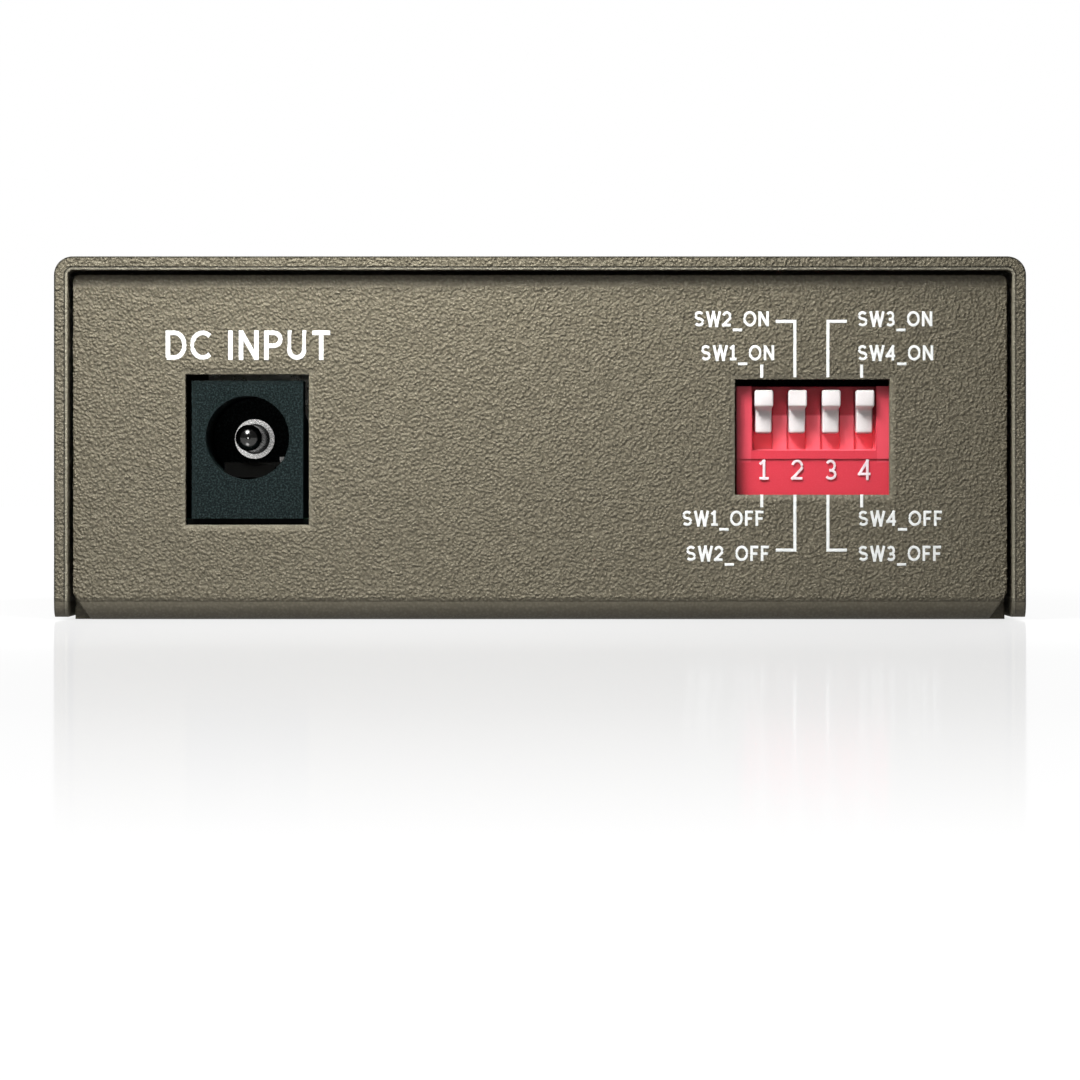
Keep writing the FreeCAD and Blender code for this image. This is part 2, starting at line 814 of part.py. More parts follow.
def copper_port_housing():
    """Insulating body with the stepped socket, the comb for the wires and a pocket for the insert."""
    width = port_width - 2 * shield - 2 * press_clearance
    front = port_face - shield - press_clearance
    back = port_back + shield + press_clearance
    top = board_top + port_height - shield - press_clearance
    body = block(port_x, width, back, front, board_top, top)
    cutters = [
        block(port_x, socket_width, socket_end, front, socket_low, socket_top),
        block(port_x, latch_width, socket_end, front, socket_low - latch_height, socket_low),
        block(port_x, catch_width, socket_end, front, catch_low, socket_low),
        block(port_x, insert_width, back, insert_front, board_top, socket_top + contact_slot_height),
    ]
    slot = contact_wire + 2 * contact_slot_gap
    slot_front, slot_top = front - comb_lip, socket_top + contact_slot_height
    for x in contact_x_places():
        cutters.append(block(x, slot, insert_front, slot_front, socket_top, slot_top))
    return body.cut(cutters)


def copper_port_shield():
    """Thin folded shell round the housing: open below, with a lipped front and two board tabs."""
    top = board_top + port_height
    shell = block(port_x, port_width, port_back, port_face, board_top, top)
    back, front = port_back + shield, port_face - shield
    inside = block(port_x, port_width - 2 * shield, back, front, board_top, top - shield)
    mouth_width = socket_width + 2 * shield_lip
    mouth_low = catch_low - shield_lip
    mouth = block(port_x, mouth_width, front, port_face, mouth_low, socket_top + shield_lip)
    tabs = [
        box(x - width / 2, x + width / 2, y - length / 2, y + length / 2, tail_bottom, board_top)
        for x, y, width, length in shield_tabs()
    ]
    return fused([shell.cut([inside, mouth])] + tabs)


def copper_port_contacts():
    """Spring wires: up from the board, forward over the socket, round its lip and back into it."""
    turn = port_face - shield - contact_turn
    contacts = []
    for x, leg in contact_legs():
        path = [
            (leg, tail_bottom),
            (leg, contact_top),
            (turn, contact_top),
            (turn, contact_top - contact_drop),
            (socket_end + contact_end_gap, socket_top - contact_dip),
        ]
        contacts.append(bent_strip(path, contact_wire, x, contact_wire))
    return contacts


def copper_port_insert():
    """Block behind the socket, grooved from the front for the legs of the wires."""
    back = port_back + shield + 2 * press_clearance
    top = contact_top - contact_wire / 2 - press_clearance
    width, front = insert_width - 2 * press_clearance, insert_front - press_clearance
    body = block(port_x, width, back, front, board_top, top)
    slot = contact_wire + 2 * contact_slot_gap
    grooves = [block(x, slot, leg - slot / 2, insert_front, board_top, top) for x, leg in contact_legs()]
    return body.cut(grooves)


# Fibre transceiver

fibre_back = port_face - fibre_length
fibre_port_end = port_face - fibre_port_depth
fibre_chamber = fibre_port_end - fibre_divider
fibre_axis = board_top + fibre_height / 2
fibre_floor = board_top + fibre_wall
sleeve_front = fibre_port_end + sleeve_length
inner_board_low = fibre_floor + inner_board_height
fibre_ports = {"transmit": fibre_x - fibre_pitch / 2, "receive": fibre_x + fibre_pitch / 2}


def fibre_pin_places():
    middle = (fibre_pin_count - 1) / 2
    y = fibre_back + fibre_pin_inset
    return [(fibre_x + (number - middle) * fibre_pin_pitch, y) for number in range(fibre_pin_count)]


def sleeve_window(x, y0, y1):
    """Cutter for a square opening that grips a sleeve on its four sides."""
    half = sleeve_diameter / 2 + seat_gap
    return block(x, 2 * half, y0, y1, fibre_axis - half, fibre_axis + half)


def transceiver_housing():
    """Moulded body: two keyed ports, a wall that holds the sleeves and a chamber open below."""
    top = board_top + fibre_height
    body = block(fibre_x, fibre_width, fibre_back, port_face, board_top, top)
    inner_width, inner_back = fibre_width - 2 * fibre_wall, fibre_back + fibre_wall
    cutters = [block(fibre_x, inner_width, inner_back, fibre_chamber, board_top, top - fibre_wall)]
    half = fibre_port_height / 2
    low, high, end = fibre_axis - half, fibre_axis + half, fibre_port_end
    for x in fibre_ports.values():
        cutters.append(block(x, fibre_port_width, end, port_face, low, high))
        cutters.append(block(x, key_width, end, port_face, high, high + key_height))
        cutters.append(sleeve_window(x, fibre_chamber, end))
    return body.cut(cutters)


def ferrule_sleeve(x):
    """Tube that takes the fibre's ferrule, held in the dividing wall."""
    tube = rod(sleeve_diameter, (x, fibre_chamber, fibre_axis), (x, sleeve_front, fibre_axis))
    bore = rod(ferrule, (x, fibre_port_end, fibre_axis), (x, sleeve_front, fibre_axis))
    return tube.cut(bore)


def port_latch(x):
    """Plate at the port's end wall with two hooked arms, one each side of the sleeve."""
    gap = 2 * seat_gap
    plate_front = fibre_port_end + latch_plate
    half = fibre_port_height / 2 - seat_gap
    y0 = fibre_port_end + seat_gap
    plate = block(x, fibre_port_width - gap, y0, plate_front, fibre_axis - half, fibre_axis + half)
    arms = []
    for side in (-1, 1):
        inner = x + side * arm_spacing / 2
        outer = inner + side * arm_thickness
        tip = fibre_port_end + arm_reach
        hooked = inner - side * hook_rise
        outline = [(inner, plate_front), (inner, tip - hook_length), (hooked, tip - hook_length)]
        outline += [(inner, tip), (outer, tip), (outer, plate_front)]
        low = fibre_axis - arm_height / 2
        arms.append(prism([(px, py, low) for px, py in outline], (0, 0, arm_height)))
    return fused([plate] + arms).cut(sleeve_window(x, y0, plate_front))


def optical_can(x):
    """Metal can against the back of the dividing wall and its sleeve."""
    front = fibre_chamber - seat_gap
    return rod(can_diameter, (x, front - can_length, fibre_axis), (x, front, fibre_axis))


def transceiver_base():
    """Plate that closes the chamber from below, slotted for the row of pins."""
    width = fibre_width - 2 * fibre_wall - 2 * seat_gap
    back, front = fibre_back + fibre_wall + seat_gap, fibre_chamber - seat_gap
    plate = block(fibre_x, width, back, front, board_top, fibre_floor)
    (first, y), *_, (last, _) = fibre_pin_places()
    half = fibre_pin / 2 + press_clearance
    return plate.cut(box(first - half, last + half, y - half, y + half, board_top, fibre_floor))


def transceiver_board():
    """Small board on the pins, ending short of the cans."""
    width = fibre_width - 2 * fibre_wall - 2 * inner_board_gap
    front = fibre_chamber - seat_gap - can_length - inner_board_gap
    back = fibre_back + fibre_wall + inner_board_gap
    return block(fibre_x, width, back, front, inner_board_low, inner_board_low + inner_board)


def square_pin(side, x, y, low, high):
    return block(x, side, y - side / 2, y + side / 2, low, high)


def transceiver_pins():
    top = inner_board_low - seat_gap
    return [square_pin(fibre_pin, x, y, tail_bottom, top) for x, y in fibre_pin_places()]


# Lamps

holder_front = front_inside - port_margin
holder_back = holder_front - holder_length
lamp_back = port_face - lamp_length


def lamp_places():
    """Place across and up of each lamp, column by column from the lowest."""
    heights = [board_top + lamp_low + row * lamp_rise for row in range(lamp_row_count)]
    return [(x, z) for x in sorted(lamp_columns) for z in heights]


def lamp_block(x, z, grow, y0, y1):
    """Block with a lamp's outline, grown all round."""
    half_height = lamp_height / 2 + grow
    return block(x, lamp_width + 2 * grow, y0, y1, z - half_height, z + half_height)


def lamp(x, z):
    """Flat-faced lens with a rim at its back."""
    lens = lamp_block(x, z, 0, lamp_back, port_face)
    return fused([lens, lamp_block(x, z, lamp_rim, lamp_back, lamp_back + lamp_rim_length)])


def lamp_leg_y(z):
    """Legs of a higher lamp stand further back."""
    row = round((z - board_top - lamp_low) / lamp_rise)
    return holder_back - lead_reach - row * lead_row


def lamp_tails():
    places = [(x + side * lead_spacing, lamp_leg_y(z)) for x, z in lamp_places() for side in (-1, 1)]
    return [(x, y, lead, lead) for x, y in places]


def lamp_leads():
    leads = []
    for x, z in lamp_places():
        y = lamp_leg_y(z)
        path = [(lamp_back - seat_gap, z), (y, z), (y, tail_bottom)]
        leads += [bent_strip(path, lead, x + side * lead_spacing, lead) for side in (-1, 1)]
    return leads


def lamp_holder(x):
    """Block that carries a column of lamps, open in front for them and slotted behind for their leads."""
    heights = [z for place, z in lamp_places() if place == x]
    top = max(heights) + lamp_height / 2 + lamp_rim + holder_wall
    slot = lead / 2 + seat_gap
    cutters = []
    for z in heights:
        cutters.append(lamp_block(x, z, lamp_rim + seat_gap, lamp_back - seat_gap, holder_front))
        cutters.append(block(x, 2 * (lead_spacing + slot), holder_back, lamp_back, z - slot, z + slot))
    return block(x, holder_width, holder_back, holder_front, board_top, top).cut(cutters)


# Board components

transformer_x = port_x + transformer_offset
transformer_y = port_back - transformer_gap - transformer_length / 2
capacitor_y = board_rear + capacitor_inset
inductor_y = board_rear + inductor_inset
regulator_y = board_rear + regulator_inset
diode_x = jack_x - diode_offset
diode_y = board_rear + diode_inset


def gull_wings(x, y, half_width, count, pitch, width, height, along_x=True):
    """Bent leads on two facing sides of a package."""
    middle = (count - 1) / 2
    z0, z1 = board_top + lead_strip / 2, board_top + height
    leads = []
    centre, line = (x, y) if along_x else (y, x)
    for side in (-1, 1):
        start = centre + side * (half_width + lead_strip / 2)
        path = [(start, z1), (start + side * lead_slope, z0), (start + side * lead_foot, z0)]
        for number in range(count):
            place = line + (number - middle) * pitch
            leads.append(bent_strip(path, lead_strip, place, width, along_x=along_x))
    return leads


def package(x, y, width, length, low, high):
    """Moulded package with its upper half drawn in."""
    middle = (low + high) / 2
    base = block(x, width, y - length / 2, y + length / 2, low, middle)
    outlines = []
    for shrink, z in ((0, middle), (package_draft, high)):
        half_width, half_length = width / 2 - shrink, length / 2 - shrink
        corners = [(-half_width, -half_length), (half_width, -half_length), (half_width, half_length)]
        corners += [(-half_width, half_length), (-half_width, -half_length)]
        outlines.append(Part.makePolygon([Vector(x + cx, y + cy, z) for cx, cy in corners]))
    return base.fuse(Part.makeLoft(outlines, True)).removeSplitter()


def converter_chip():
    return package(chip_x, chip_y, chip_size, chip_size, board_top + lead_strip / 2, board_top + chip_height)


def converter_chip_leads():
    height = chip_height / 2
    settings = (chip_size / 2, chip_lead_count, chip_lead_pitch, chip_lead_width, height)
    return gull_wings(chip_x, chip_y, *settings) + gull_wings(chip_x, chip_y, *settings, along_x=False)


def memory_chip():
    low, top = board_top + lead_strip / 2, board_top + chip_height
    return package(memory_x, memory_y, memory_width, memory_length, low, top)


def memory_chip_leads():
    return gull_wings(
        memory_x,
        memory_y,
        memory_width / 2,
        memory_lead_count,
        small_lead_pitch,
        small_lead_width,
        chip_height / 2,
    )


def isolation_transformer():
    low, top = board_top + lead_strip, board_top + transformer_height
    return package(transformer_x, transformer_y, transformer_width, transformer_length, low, top)


def isolation_transformer_leads():
    return gull_wings(
        transformer_x,
        transformer_y,
        transformer_length / 2,
        transformer_lead_count,
        small_lead_pitch,
        small_lead_width,
        transformer_lead_height,
        along_x=False,
    )


def crystal():
    return package(crystal_x, crystal_y, crystal_width, crystal_length, board_top, board_top + crystal_height)


def bulk_capacitor():
    """Aluminium can on a square moulded foot."""
    half = capacitor_diameter / 2
    x, y, foot_top = capacitor_x, capacitor_y, board_top + capacitor_base
    foot = block(x, capacitor_diameter, y - half, y + half, board_top, foot_top)
    can = rod(capacitor_diameter, (x, y, foot_top), (x, y, board_top + capacitor_height))
    return foot.fuse(can).removeSplitter()


def power_inductor():
    """Square ferrite with cut corners."""
    half = inductor_size / 2
    corners = [(half, half - inductor_corner), (half - inductor_corner, half)]
    outline = []
    for turn in range(4):
        angle = math.radians(90 * turn)
        for cx, cy in corners:
            px, py = cx * math.cos(angle) - cy * math.sin(angle), cx * math.sin(angle) + cy * math.cos(angle)
            outline.append((inductor_x + px, inductor_y + py, board_top))
    return prism(outline, (0, 0, inductor_height))


def voltage_regulator():
    """Small package with a heat tab behind it and three leads in front."""
    x, y, low, top = regulator_x, regulator_y, board_top + lead_strip, board_top + regulator_height
    body = package(x, y, regulator_width, regulator_length, low, top)
    tab = block(x, regulator_tab_width, y, y + regulator_tab_reach, board_top, low)
    places = [x + number * regulator_lead_pitch for number in (-1, 0, 1)]
    leads = [block(px, regulator_lead_width, y - regulator_lead_reach, y, board_top, low) for px in places]
    return fused([body, tab] + leads)


def input_diode():
    return package(diode_x, diode_y, diode_width, diode_length, board_top, board_top + diode_height)


def small_chips(rows, count, pitch, size):
    """Rows of plain chip parts, one behind another."""
    width, length, height = size
    places = [(x, y + number * pitch) for x, y in rows for number in range(count)]
    return [block(x, width, y - length / 2, y + length / 2, board_top, board_top + height) for x, y in places]


def chip_resistors():
    return small_chips(resistor_rows, resistor_count, resistor_pitch, resistor_size)


def chip_capacitors():
    return small_chips(chip_capacitor_rows, chip_capacitor_count, chip_capacitor_pitch, chip_capacitor_size)


def node_shapes():
    """Every piece by its name; a list is a group of identical pieces."""
    nodes = {
        "top_cover": top_cover(),
        "bottom_tray": bottom_tray(),
        "cover_screws": cover_screws(),
        "board_standoffs": board_standoffs(),
        "board_rests": board_rests(),
        "board_screws": board_screws(),
        "circuit_board": circuit_board(),
        "jack_housing": jack_housing(),
        "jack_centre_pin": jack_centre_pin(),
        "jack_pin_tail": jack_pin_tail(),
        "jack_sleeve_spring": jack_sleeve_spring(),
        "jack_switch_contact": jack_switch_contact(),
        "switch_housing": switch_housing(),
        "switch_base_plate": switch_base_plate(),
        "switch_terminals": switch_terminals(),
        "copper_port_housing": copper_port_housing(),
        "copper_port_shield": copper_port_shield(),
        "copper_port_contacts": copper_port_contacts(),
        "copper_port_insert": copper_port_insert(),
        "transceiver_housing": transceiver_housing(),
        "transceiver_base": transceiver_base(),
        "transceiver_board": transceiver_board(),
        "transceiver_pins": transceiver_pins(),
        "laser_can": optical_can(fibre_ports["transmit"]),
        "photodiode_can": optical_can(fibre_ports["receive"]),
        "lamp_leads": lamp_leads(),
        "converter_chip": converter_chip(),
        "converter_chip_leads": converter_chip_leads(),
        "memory_chip": memory_chip(),
        "memory_chip_leads": memory_chip_leads(),
        "isolation_transformer": isolation_transformer(),
        "isolation_transformer_leads": isolation_transformer_leads(),
        "crystal": crystal(),
        "bulk_capacitor": bulk_capacitor(),
        "power_inductor": power_inductor(),
        "voltage_regulator": voltage_regulator(),
        "input_diode": input_diode(),
        "chip_resistors": chip_resistors(),
        "chip_capacitors": chip_capacitors(),
    }
    for way in range(way_count):
        nodes[f"switch_slider_{way + 1}"] = switch_slider(way)
        nodes[f"switch_wiper_{way + 1}"] = switch_wiper(way)
    for name, x in fibre_ports.items():
        nodes[f"{name}_sleeve"] = ferrule_sleeve(x)
        nodes[f"{name}_latch"] = port_latch(x)
    for number, x in enumerate(sorted(lamp_columns)):
        nodes[f"lamp_holder_{number + 1}"] = lamp_holder(x)
    for number, (x, z) in enumerate(lamp_places()):
        nodes[f"lamp_{number + 1}"] = lamp(x, z)
    return nodes


os.makedirs("parts", exist_ok=True)
for name, shape in node_shapes().items():
    solid = Part.Compound(shape) if isinstance(shape, list) else shape
    solid.exportStep(f"parts/{name}.step")
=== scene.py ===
import json
import math

import bpy
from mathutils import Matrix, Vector


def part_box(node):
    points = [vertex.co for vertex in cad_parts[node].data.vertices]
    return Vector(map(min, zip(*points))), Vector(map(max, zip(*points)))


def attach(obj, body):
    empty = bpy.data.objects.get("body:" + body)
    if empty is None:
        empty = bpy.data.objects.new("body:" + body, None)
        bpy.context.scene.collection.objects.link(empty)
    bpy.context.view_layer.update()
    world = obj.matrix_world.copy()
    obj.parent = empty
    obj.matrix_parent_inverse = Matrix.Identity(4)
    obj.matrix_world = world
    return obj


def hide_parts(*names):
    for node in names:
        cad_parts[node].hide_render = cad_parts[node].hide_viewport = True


MM = 0.001

# Sizes in millimetres
FRAME_WIDTH = 81.1  # across the view at the rear edge of the cover
VIEW_MIDDLE = 6.0  # height of the middle of the view
CAMERA_DISTANCE = 375.0
CAMERA_HEIGHT = 9.5
SENSOR = 36.0
MERGE = 0.0005  # points closer than this are one point
INK_RISE = 0.018  # of printing ink above the face it lies on
INK_ROOT = 0.008  # of printing ink below that face

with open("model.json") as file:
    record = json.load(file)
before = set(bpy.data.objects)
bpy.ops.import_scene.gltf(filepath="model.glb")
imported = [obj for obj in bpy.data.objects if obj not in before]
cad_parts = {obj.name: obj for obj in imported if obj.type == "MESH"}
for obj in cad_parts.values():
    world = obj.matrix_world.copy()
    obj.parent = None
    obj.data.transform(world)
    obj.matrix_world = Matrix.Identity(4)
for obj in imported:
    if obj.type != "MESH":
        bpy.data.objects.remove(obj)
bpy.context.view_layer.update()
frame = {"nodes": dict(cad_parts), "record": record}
nodes = frame["nodes"]
record = frame["record"]
slot_of = {part["node"]: part["material_slot"] for part in record["subparts"]}
bodies = record["behaviour"]["bodies"]
body_of = {node: body for body, group in bodies.items() for node in group}
WAYS = (1, 2, 3, 4)  # of the four-way switch

PANEL_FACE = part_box("bottom_tray")[0].y / MM
COVER_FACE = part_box("top_cover")[0].y / MM
SWITCH_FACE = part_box("switch_housing")[0].y / MM


# Shader building


def linear(red, green, blue):
    """A colour given as 0 to 255 on screen, as the shaders read it."""

    def level(value):
        value /= 255
        return value / 12.92 if value <= 0.04045 else ((value + 0.055) / 1.055) ** 2.4

    return (level(red), level(green), level(blue), 1.0)


class Tree:
    """Short way to place and join shader nodes."""

    def __init__(self, tree):
        self.tree = tree

    def add(self, kind, values=None, **settings):
        node = self.tree.nodes.new(kind)
        for name, value in settings.items():
            setattr(node, name, value)
        for name, value in (values or {}).items():
            if isinstance(value, bpy.types.NodeSocket):
                self.tree.links.new(value, node.inputs[name])
            else:
                node.inputs[name].default_value = value
        return node

    def places(self, stretch=(1, 1, 1)):
        """The piece's own coordinates, stretched."""
        coordinates = self.add("ShaderNodeTexCoord").outputs["Object"]
        mapping = self.add("ShaderNodeMapping", {"Vector": coordinates, "Scale": stretch})
        return mapping.outputs["Vector"]

    def axes(self, vector):
        """The three parts of a vector, under their names X, Y and Z."""
        return self.add("ShaderNodeSeparateXYZ", {"Vector": vector}).outputs

    def noise(self, vector, size, detail=2.0, roughness=0.5):
        """Noise whose features are about a size in millimetres."""
        values = {"Vector": vector, "Scale": 1 / (size * MM), "Detail": detail}
        values["Roughness"] = roughness
        return self.add("ShaderNodeTexNoise", values).outputs["Fac"]

    def remap(self, value, low, high, to_low=0.0, to_high=1.0):
        """Steady change from one level to another while a value goes from low to high."""
        values = {"Value": value, "From Min": low, "From Max": high}
        values.update({"To Min": to_low, "To Max": to_high})
        return self.add("ShaderNodeMapRange", values, clamp=True).outputs["Result"]

    def math(self, operation, first, second=0.0):
        node = self.add("ShaderNodeMath", {0: first, 1: second}, operation=operation)
        return node.outputs[0]

    def plus(self, first, second):
        return self.math("ADD", first, second)

    def minus(self, first, second):
        return self.math("SUBTRACT", first, second)

    def times(self, first, second):
        return self.math("MULTIPLY", first, second)

    def larger(self, first, second):
        return self.math("MAXIMUM", first, second)

    def length(self, first, second):
        """Length of a flat vector of two parts."""
        squares = self.plus(self.times(first, first), self.times(second, second))
        return self.math("SQRT", squares)

    def band(self, value, rise_start, rise_end, fall_start, fall_end):
        """1 in a band of a length, with soft limits given in millimetres."""
        rising = self.remap(value, rise_start * MM, rise_end * MM)
        falling = self.remap(value, fall_start * MM, fall_end * MM, 1.0, 0.0)
        return self.times(rising, falling)

    def blend(self, share, first, second):
        """Colour mix of two colours or sockets."""
        node = self.add("ShaderNodeMix", data_type="RGBA")
        for place, value in ((0, share), (6, first), (7, second)):
            if isinstance(value, bpy.types.NodeSocket):
                self.tree.links.new(value, node.inputs[place])
            else:
                node.inputs[place].default_value = value
        return node.outputs[2]

    def bump(self, height, depth, rounding=0.0):
        """Normal from a height whose unit is a depth in millimetres, over rounded edges."""
        values = {"Height": height, "Distance": depth * MM}
        if rounding:
            rounded = self.add("ShaderNodeBevel", {"Radius": rounding * MM}, samples=6)
            values["Normal"] = rounded.outputs["Normal"]
        return self.add("ShaderNodeBump", values).outputs["Normal"]


def new_finish(name):
    material = bpy.data.materials.new(name)
    material.use_nodes = True
    material.node_tree.nodes.clear()
    return material, Tree(material.node_tree)


def close_finish(tree, **values):
    """Adds the surface shader with its values, and the output."""
    named = {key.replace("_", " "): value for key, value in values.items()}
    surface = tree.add("ShaderNodeBsdfPrincipled", named)
    tree.add("ShaderNodeOutputMaterial", {"Surface": surface.outputs["BSDF"]})


def new_group(name, inputs, outputs):
    """Node group with float inputs and their usual values, and named outputs."""
    group = bpy.data.node_groups.new(name, "ShaderNodeTree")
    for label, value in inputs.items():
        kind = "NodeSocketVector" if label == "Vector" else "NodeSocketFloat"
        socket = group.interface.new_socket(name=label, in_out="INPUT", socket_type=kind)
        if value is not None:
            socket.default_value = value
    for label in outputs:
        group.interface.new_socket(name=label, in_out="OUTPUT", socket_type="NodeSocketFloat")
    tree = Tree(group)
    return group, tree, tree.add("NodeGroupInput"), tree.add("NodeGroupOutput")


def moulded_grain_group():
    """Fine grain of moulded plastic: its height, and a mask of lighter specks."""
    inputs = {"Vector": None, "Grain": 8000.0}
    group, tree, start, end = new_group("moulded_grain", inputs, ["Height", "Specks"])
    vector, grain = start.outputs["Vector"], start.outputs["Grain"]
    fine_values = {"Vector": vector, "Scale": grain, "Detail": 3.0, "Roughness": 0.6}
    fine = tree.add("ShaderNodeTexNoise", fine_values).outputs["Fac"]
    coarse_values = {"Vector": vector, "Scale": tree.times(grain, 0.22), "Detail": 2.0}
    coarse = tree.add("ShaderNodeTexNoise", coarse_values).outputs["Fac"]
    height = tree.plus(fine, tree.times(coarse, 0.6))
    specks = tree.remap(fine, 0.45, 0.72)
    tree.tree.links.new(height, end.inputs["Height"])
    tree.tree.links.new(specks, end.inputs["Specks"])
    return group


def handling_group():
    """Faint uneven dulling, as from handling: a mask that changes slowly over a piece."""
    group, tree, start, end = new_group("handling", {"Vector": None, "Scale": 120.0}, ["Mask"])
    values = {"Vector": start.outputs["Vector"], "Scale": start.outputs["Scale"]}
    values.update({"Detail": 4.0, "Roughness": 0.6})
    cloud = tree.add("ShaderNodeTexNoise", values)
    mask = tree.remap(cloud.outputs["Fac"], 0.3, 0.7)
    tree.tree.links.new(mask, end.inputs["Mask"])
    return group


MOULDED_GRAIN = moulded_grain_group()
HANDLING = handling_group()


def grain_of(tree, vector, grain):
    """Outputs of the moulded grain: a larger number gives finer grain."""
    values = {"Vector": vector, "Grain": grain}
    return tree.add("ShaderNodeGroup", values, node_tree=MOULDED_GRAIN).outputs


def dulling_of(tree, vector, scale):
    """Mask of the dulling: a larger number gives smaller patches."""
    values = {"Vector": vector, "Scale": scale}
    return tree.add("ShaderNodeGroup", values, node_tree=HANDLING).outputs["Mask"]


# Finishes

# The crease colour is painted shade: the coat is darker in the creases between its pads.
COAT_CREASE_SHADE = linear(102, 96, 80)
COAT_PAD = linear(131, 124, 105)
COAT_DULL = linear(118, 112, 95)
# The edge colour is a painted highlight: the coat is lighter at the windows' edges and on the
# cover's inner edge, where the edges turn to the light.
COAT_EDGE_HIGHLIGHT = linear(165, 160, 142)
# The shade colour is painted shade: over the fold near the table, and under the panel's top.
COAT_SHADE = linear(84, 79, 67)
# The rim colour is painted shade: thin darker lines along the outer edge and next to the inner edge
# of the cover's cut ends.
COAT_RIM_SHADE = linear(44, 42, 34)
COAT_DEPTH = 0.15  # unit of the wrinkles' height, in mm
COAT_ROUNDING = 0.25  # of the coated edges, in mm
PANEL_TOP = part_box("bottom_tray")[1].z  # in metres
PANEL_TOP_SHADOW = (0.95, 0.8)  # in mm below the panel's top: the smoother band there, painted dark as the shadow of the cover's overhang
FOLD_END = 1.46  # height in mm below which the coat over the fold is smooth, and painted dark as shade near the table

# Windows of the rear panel in mm: middle and half size, across and up
SOCKET_WINDOW = (-22.05, 4.65, 12.8, 5.67)
SWITCH_WINDOW = (20.5, 5.83, 13.75, 4.35)
WINDOW_RIM = (0.12, 0.45)  # in mm outside a window, where the smoother coat, painted lighter as a highlight, fades out

# The cover's cut ends, in mm inwards from its outer side: where each painted line of shade and the
# painted highlight start and end
COVER_BEND = 1.4  # outer radius of the folds
COVER_END = (0.6, 0.35)  # depth from the end over which the painted shade and highlight fade in
OUTER_SHADE_LINE = (0.07, 0.16)
INNER_SHADE_LINE = (0.7, 0.74, 0.79, 0.83)
INNER_HIGHLIGHT = (0.79, 0.85)
cover_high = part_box("top_cover")[1]


def window_edge(tree, place, window):
    """1 close to the edge of a window, falling to 0 a little further away."""
    middle_x, half_x, middle_z, half_z = [value * MM for value in window]
    across = tree.minus(tree.math("ABSOLUTE", tree.minus(place["X"], middle_x)), half_x)
    up = tree.minus(tree.math("ABSOLUTE", tree.minus(place["Z"], middle_z)), half_z)
    near, far = WINDOW_RIM
    return tree.remap(tree.larger(across, up), near * MM, far * MM, 1.0, 0.0)


def panel_marks(tree, place):
    """Masks on the panels: painted shadow below the top, under the cover's overhang, and the
    smoother edges of the windows, painted lighter as a highlight.
    """
    low, high = PANEL_TOP_SHADOW
    # Painted shadow of the cover's overhang along the top of the panel.
    dark = tree.remap(place["Z"], PANEL_TOP - low * MM, PANEL_TOP - high * MM, 0.0, 0.45)
    windows = [window_edge(tree, place, window) for window in (SOCKET_WINDOW, SWITCH_WINDOW)]
    rear = tree.remap(place["Y"], -1.0 * MM, 0.0, 1.0, 0.0)
    return dark, tree.times(tree.larger(*windows), rear)


def rim_marks(tree, place):
    """Masks on the cover's cut ends: thin lines of painted shade beside its edges, and a painted
    highlight on the inner edge.
    """
    side = tree.minus(tree.math("ABSOLUTE", place["X"]), cover_high.x - COVER_BEND * MM)
    top = tree.minus(place["Z"], cover_high.z - COVER_BEND * MM)
    reach = tree.length(tree.larger(side, 0.0), tree.larger(top, 0.0))
    depth = tree.minus(COVER_BEND * MM, reach)
    far, near = COVER_END
    along = tree.math("ABSOLUTE", place["Y"])
    end = tree.remap(along, cover_high.y - far * MM, cover_high.y - near * MM)
    outer = tree.remap(depth, OUTER_SHADE_LINE[0] * MM, OUTER_SHADE_LINE[1] * MM, 1.0, 0.0)
    dark = tree.times(tree.larger(outer, tree.band(depth, *INNER_SHADE_LINE)), end)
    # Painted highlight on the inner edge.
    light = tree.times(tree.remap(depth, INNER_HIGHLIGHT[0] * MM, INNER_HIGHLIGHT[1] * MM), end)
    return dark, light


def wrinkles(tree, vector):
    """Fine pads of baked coat with creases between them: their height, and a mask that is 0 in the
    creases, where the coat is painted darker as shade.
    """
    warp = tree.add("ShaderNodeTexNoise", {"Vector": vector, "Scale": 2600.0, "Detail": 1.0})
    shift_values = {0: warp.outputs["Color"], "Scale": 0.06 * MM}
    shift = tree.add("ShaderNodeVectorMath", shift_values, operation="SCALE").outputs[0]
    moved = tree.add("ShaderNodeVectorMath", {0: vector, 1: shift}, operation="ADD").outputs[0]
    values = {"Vector": moved, "Scale": 4300.0, "Smoothness": 0.55, "Randomness": 1.0}
    cells = tree.add("ShaderNodeTexVoronoi", values, feature="SMOOTH_F1").outputs["Distance"]
    pads = tree.remap(cells, 0.75, 0.1)
    fine = tree.noise(moved, 0.21, detail=2.0, roughness=0.5)
    broad = tree.noise(vector, 0.9, detail=1.0)
    height = tree.plus(tree.times(pads, 0.8), tree.times(fine, 1.2))
    height = tree.plus(height, tree.times(broad, 0.6))
    return height, tree.remap(tree.plus(pads, fine), 0.7, 1.5)


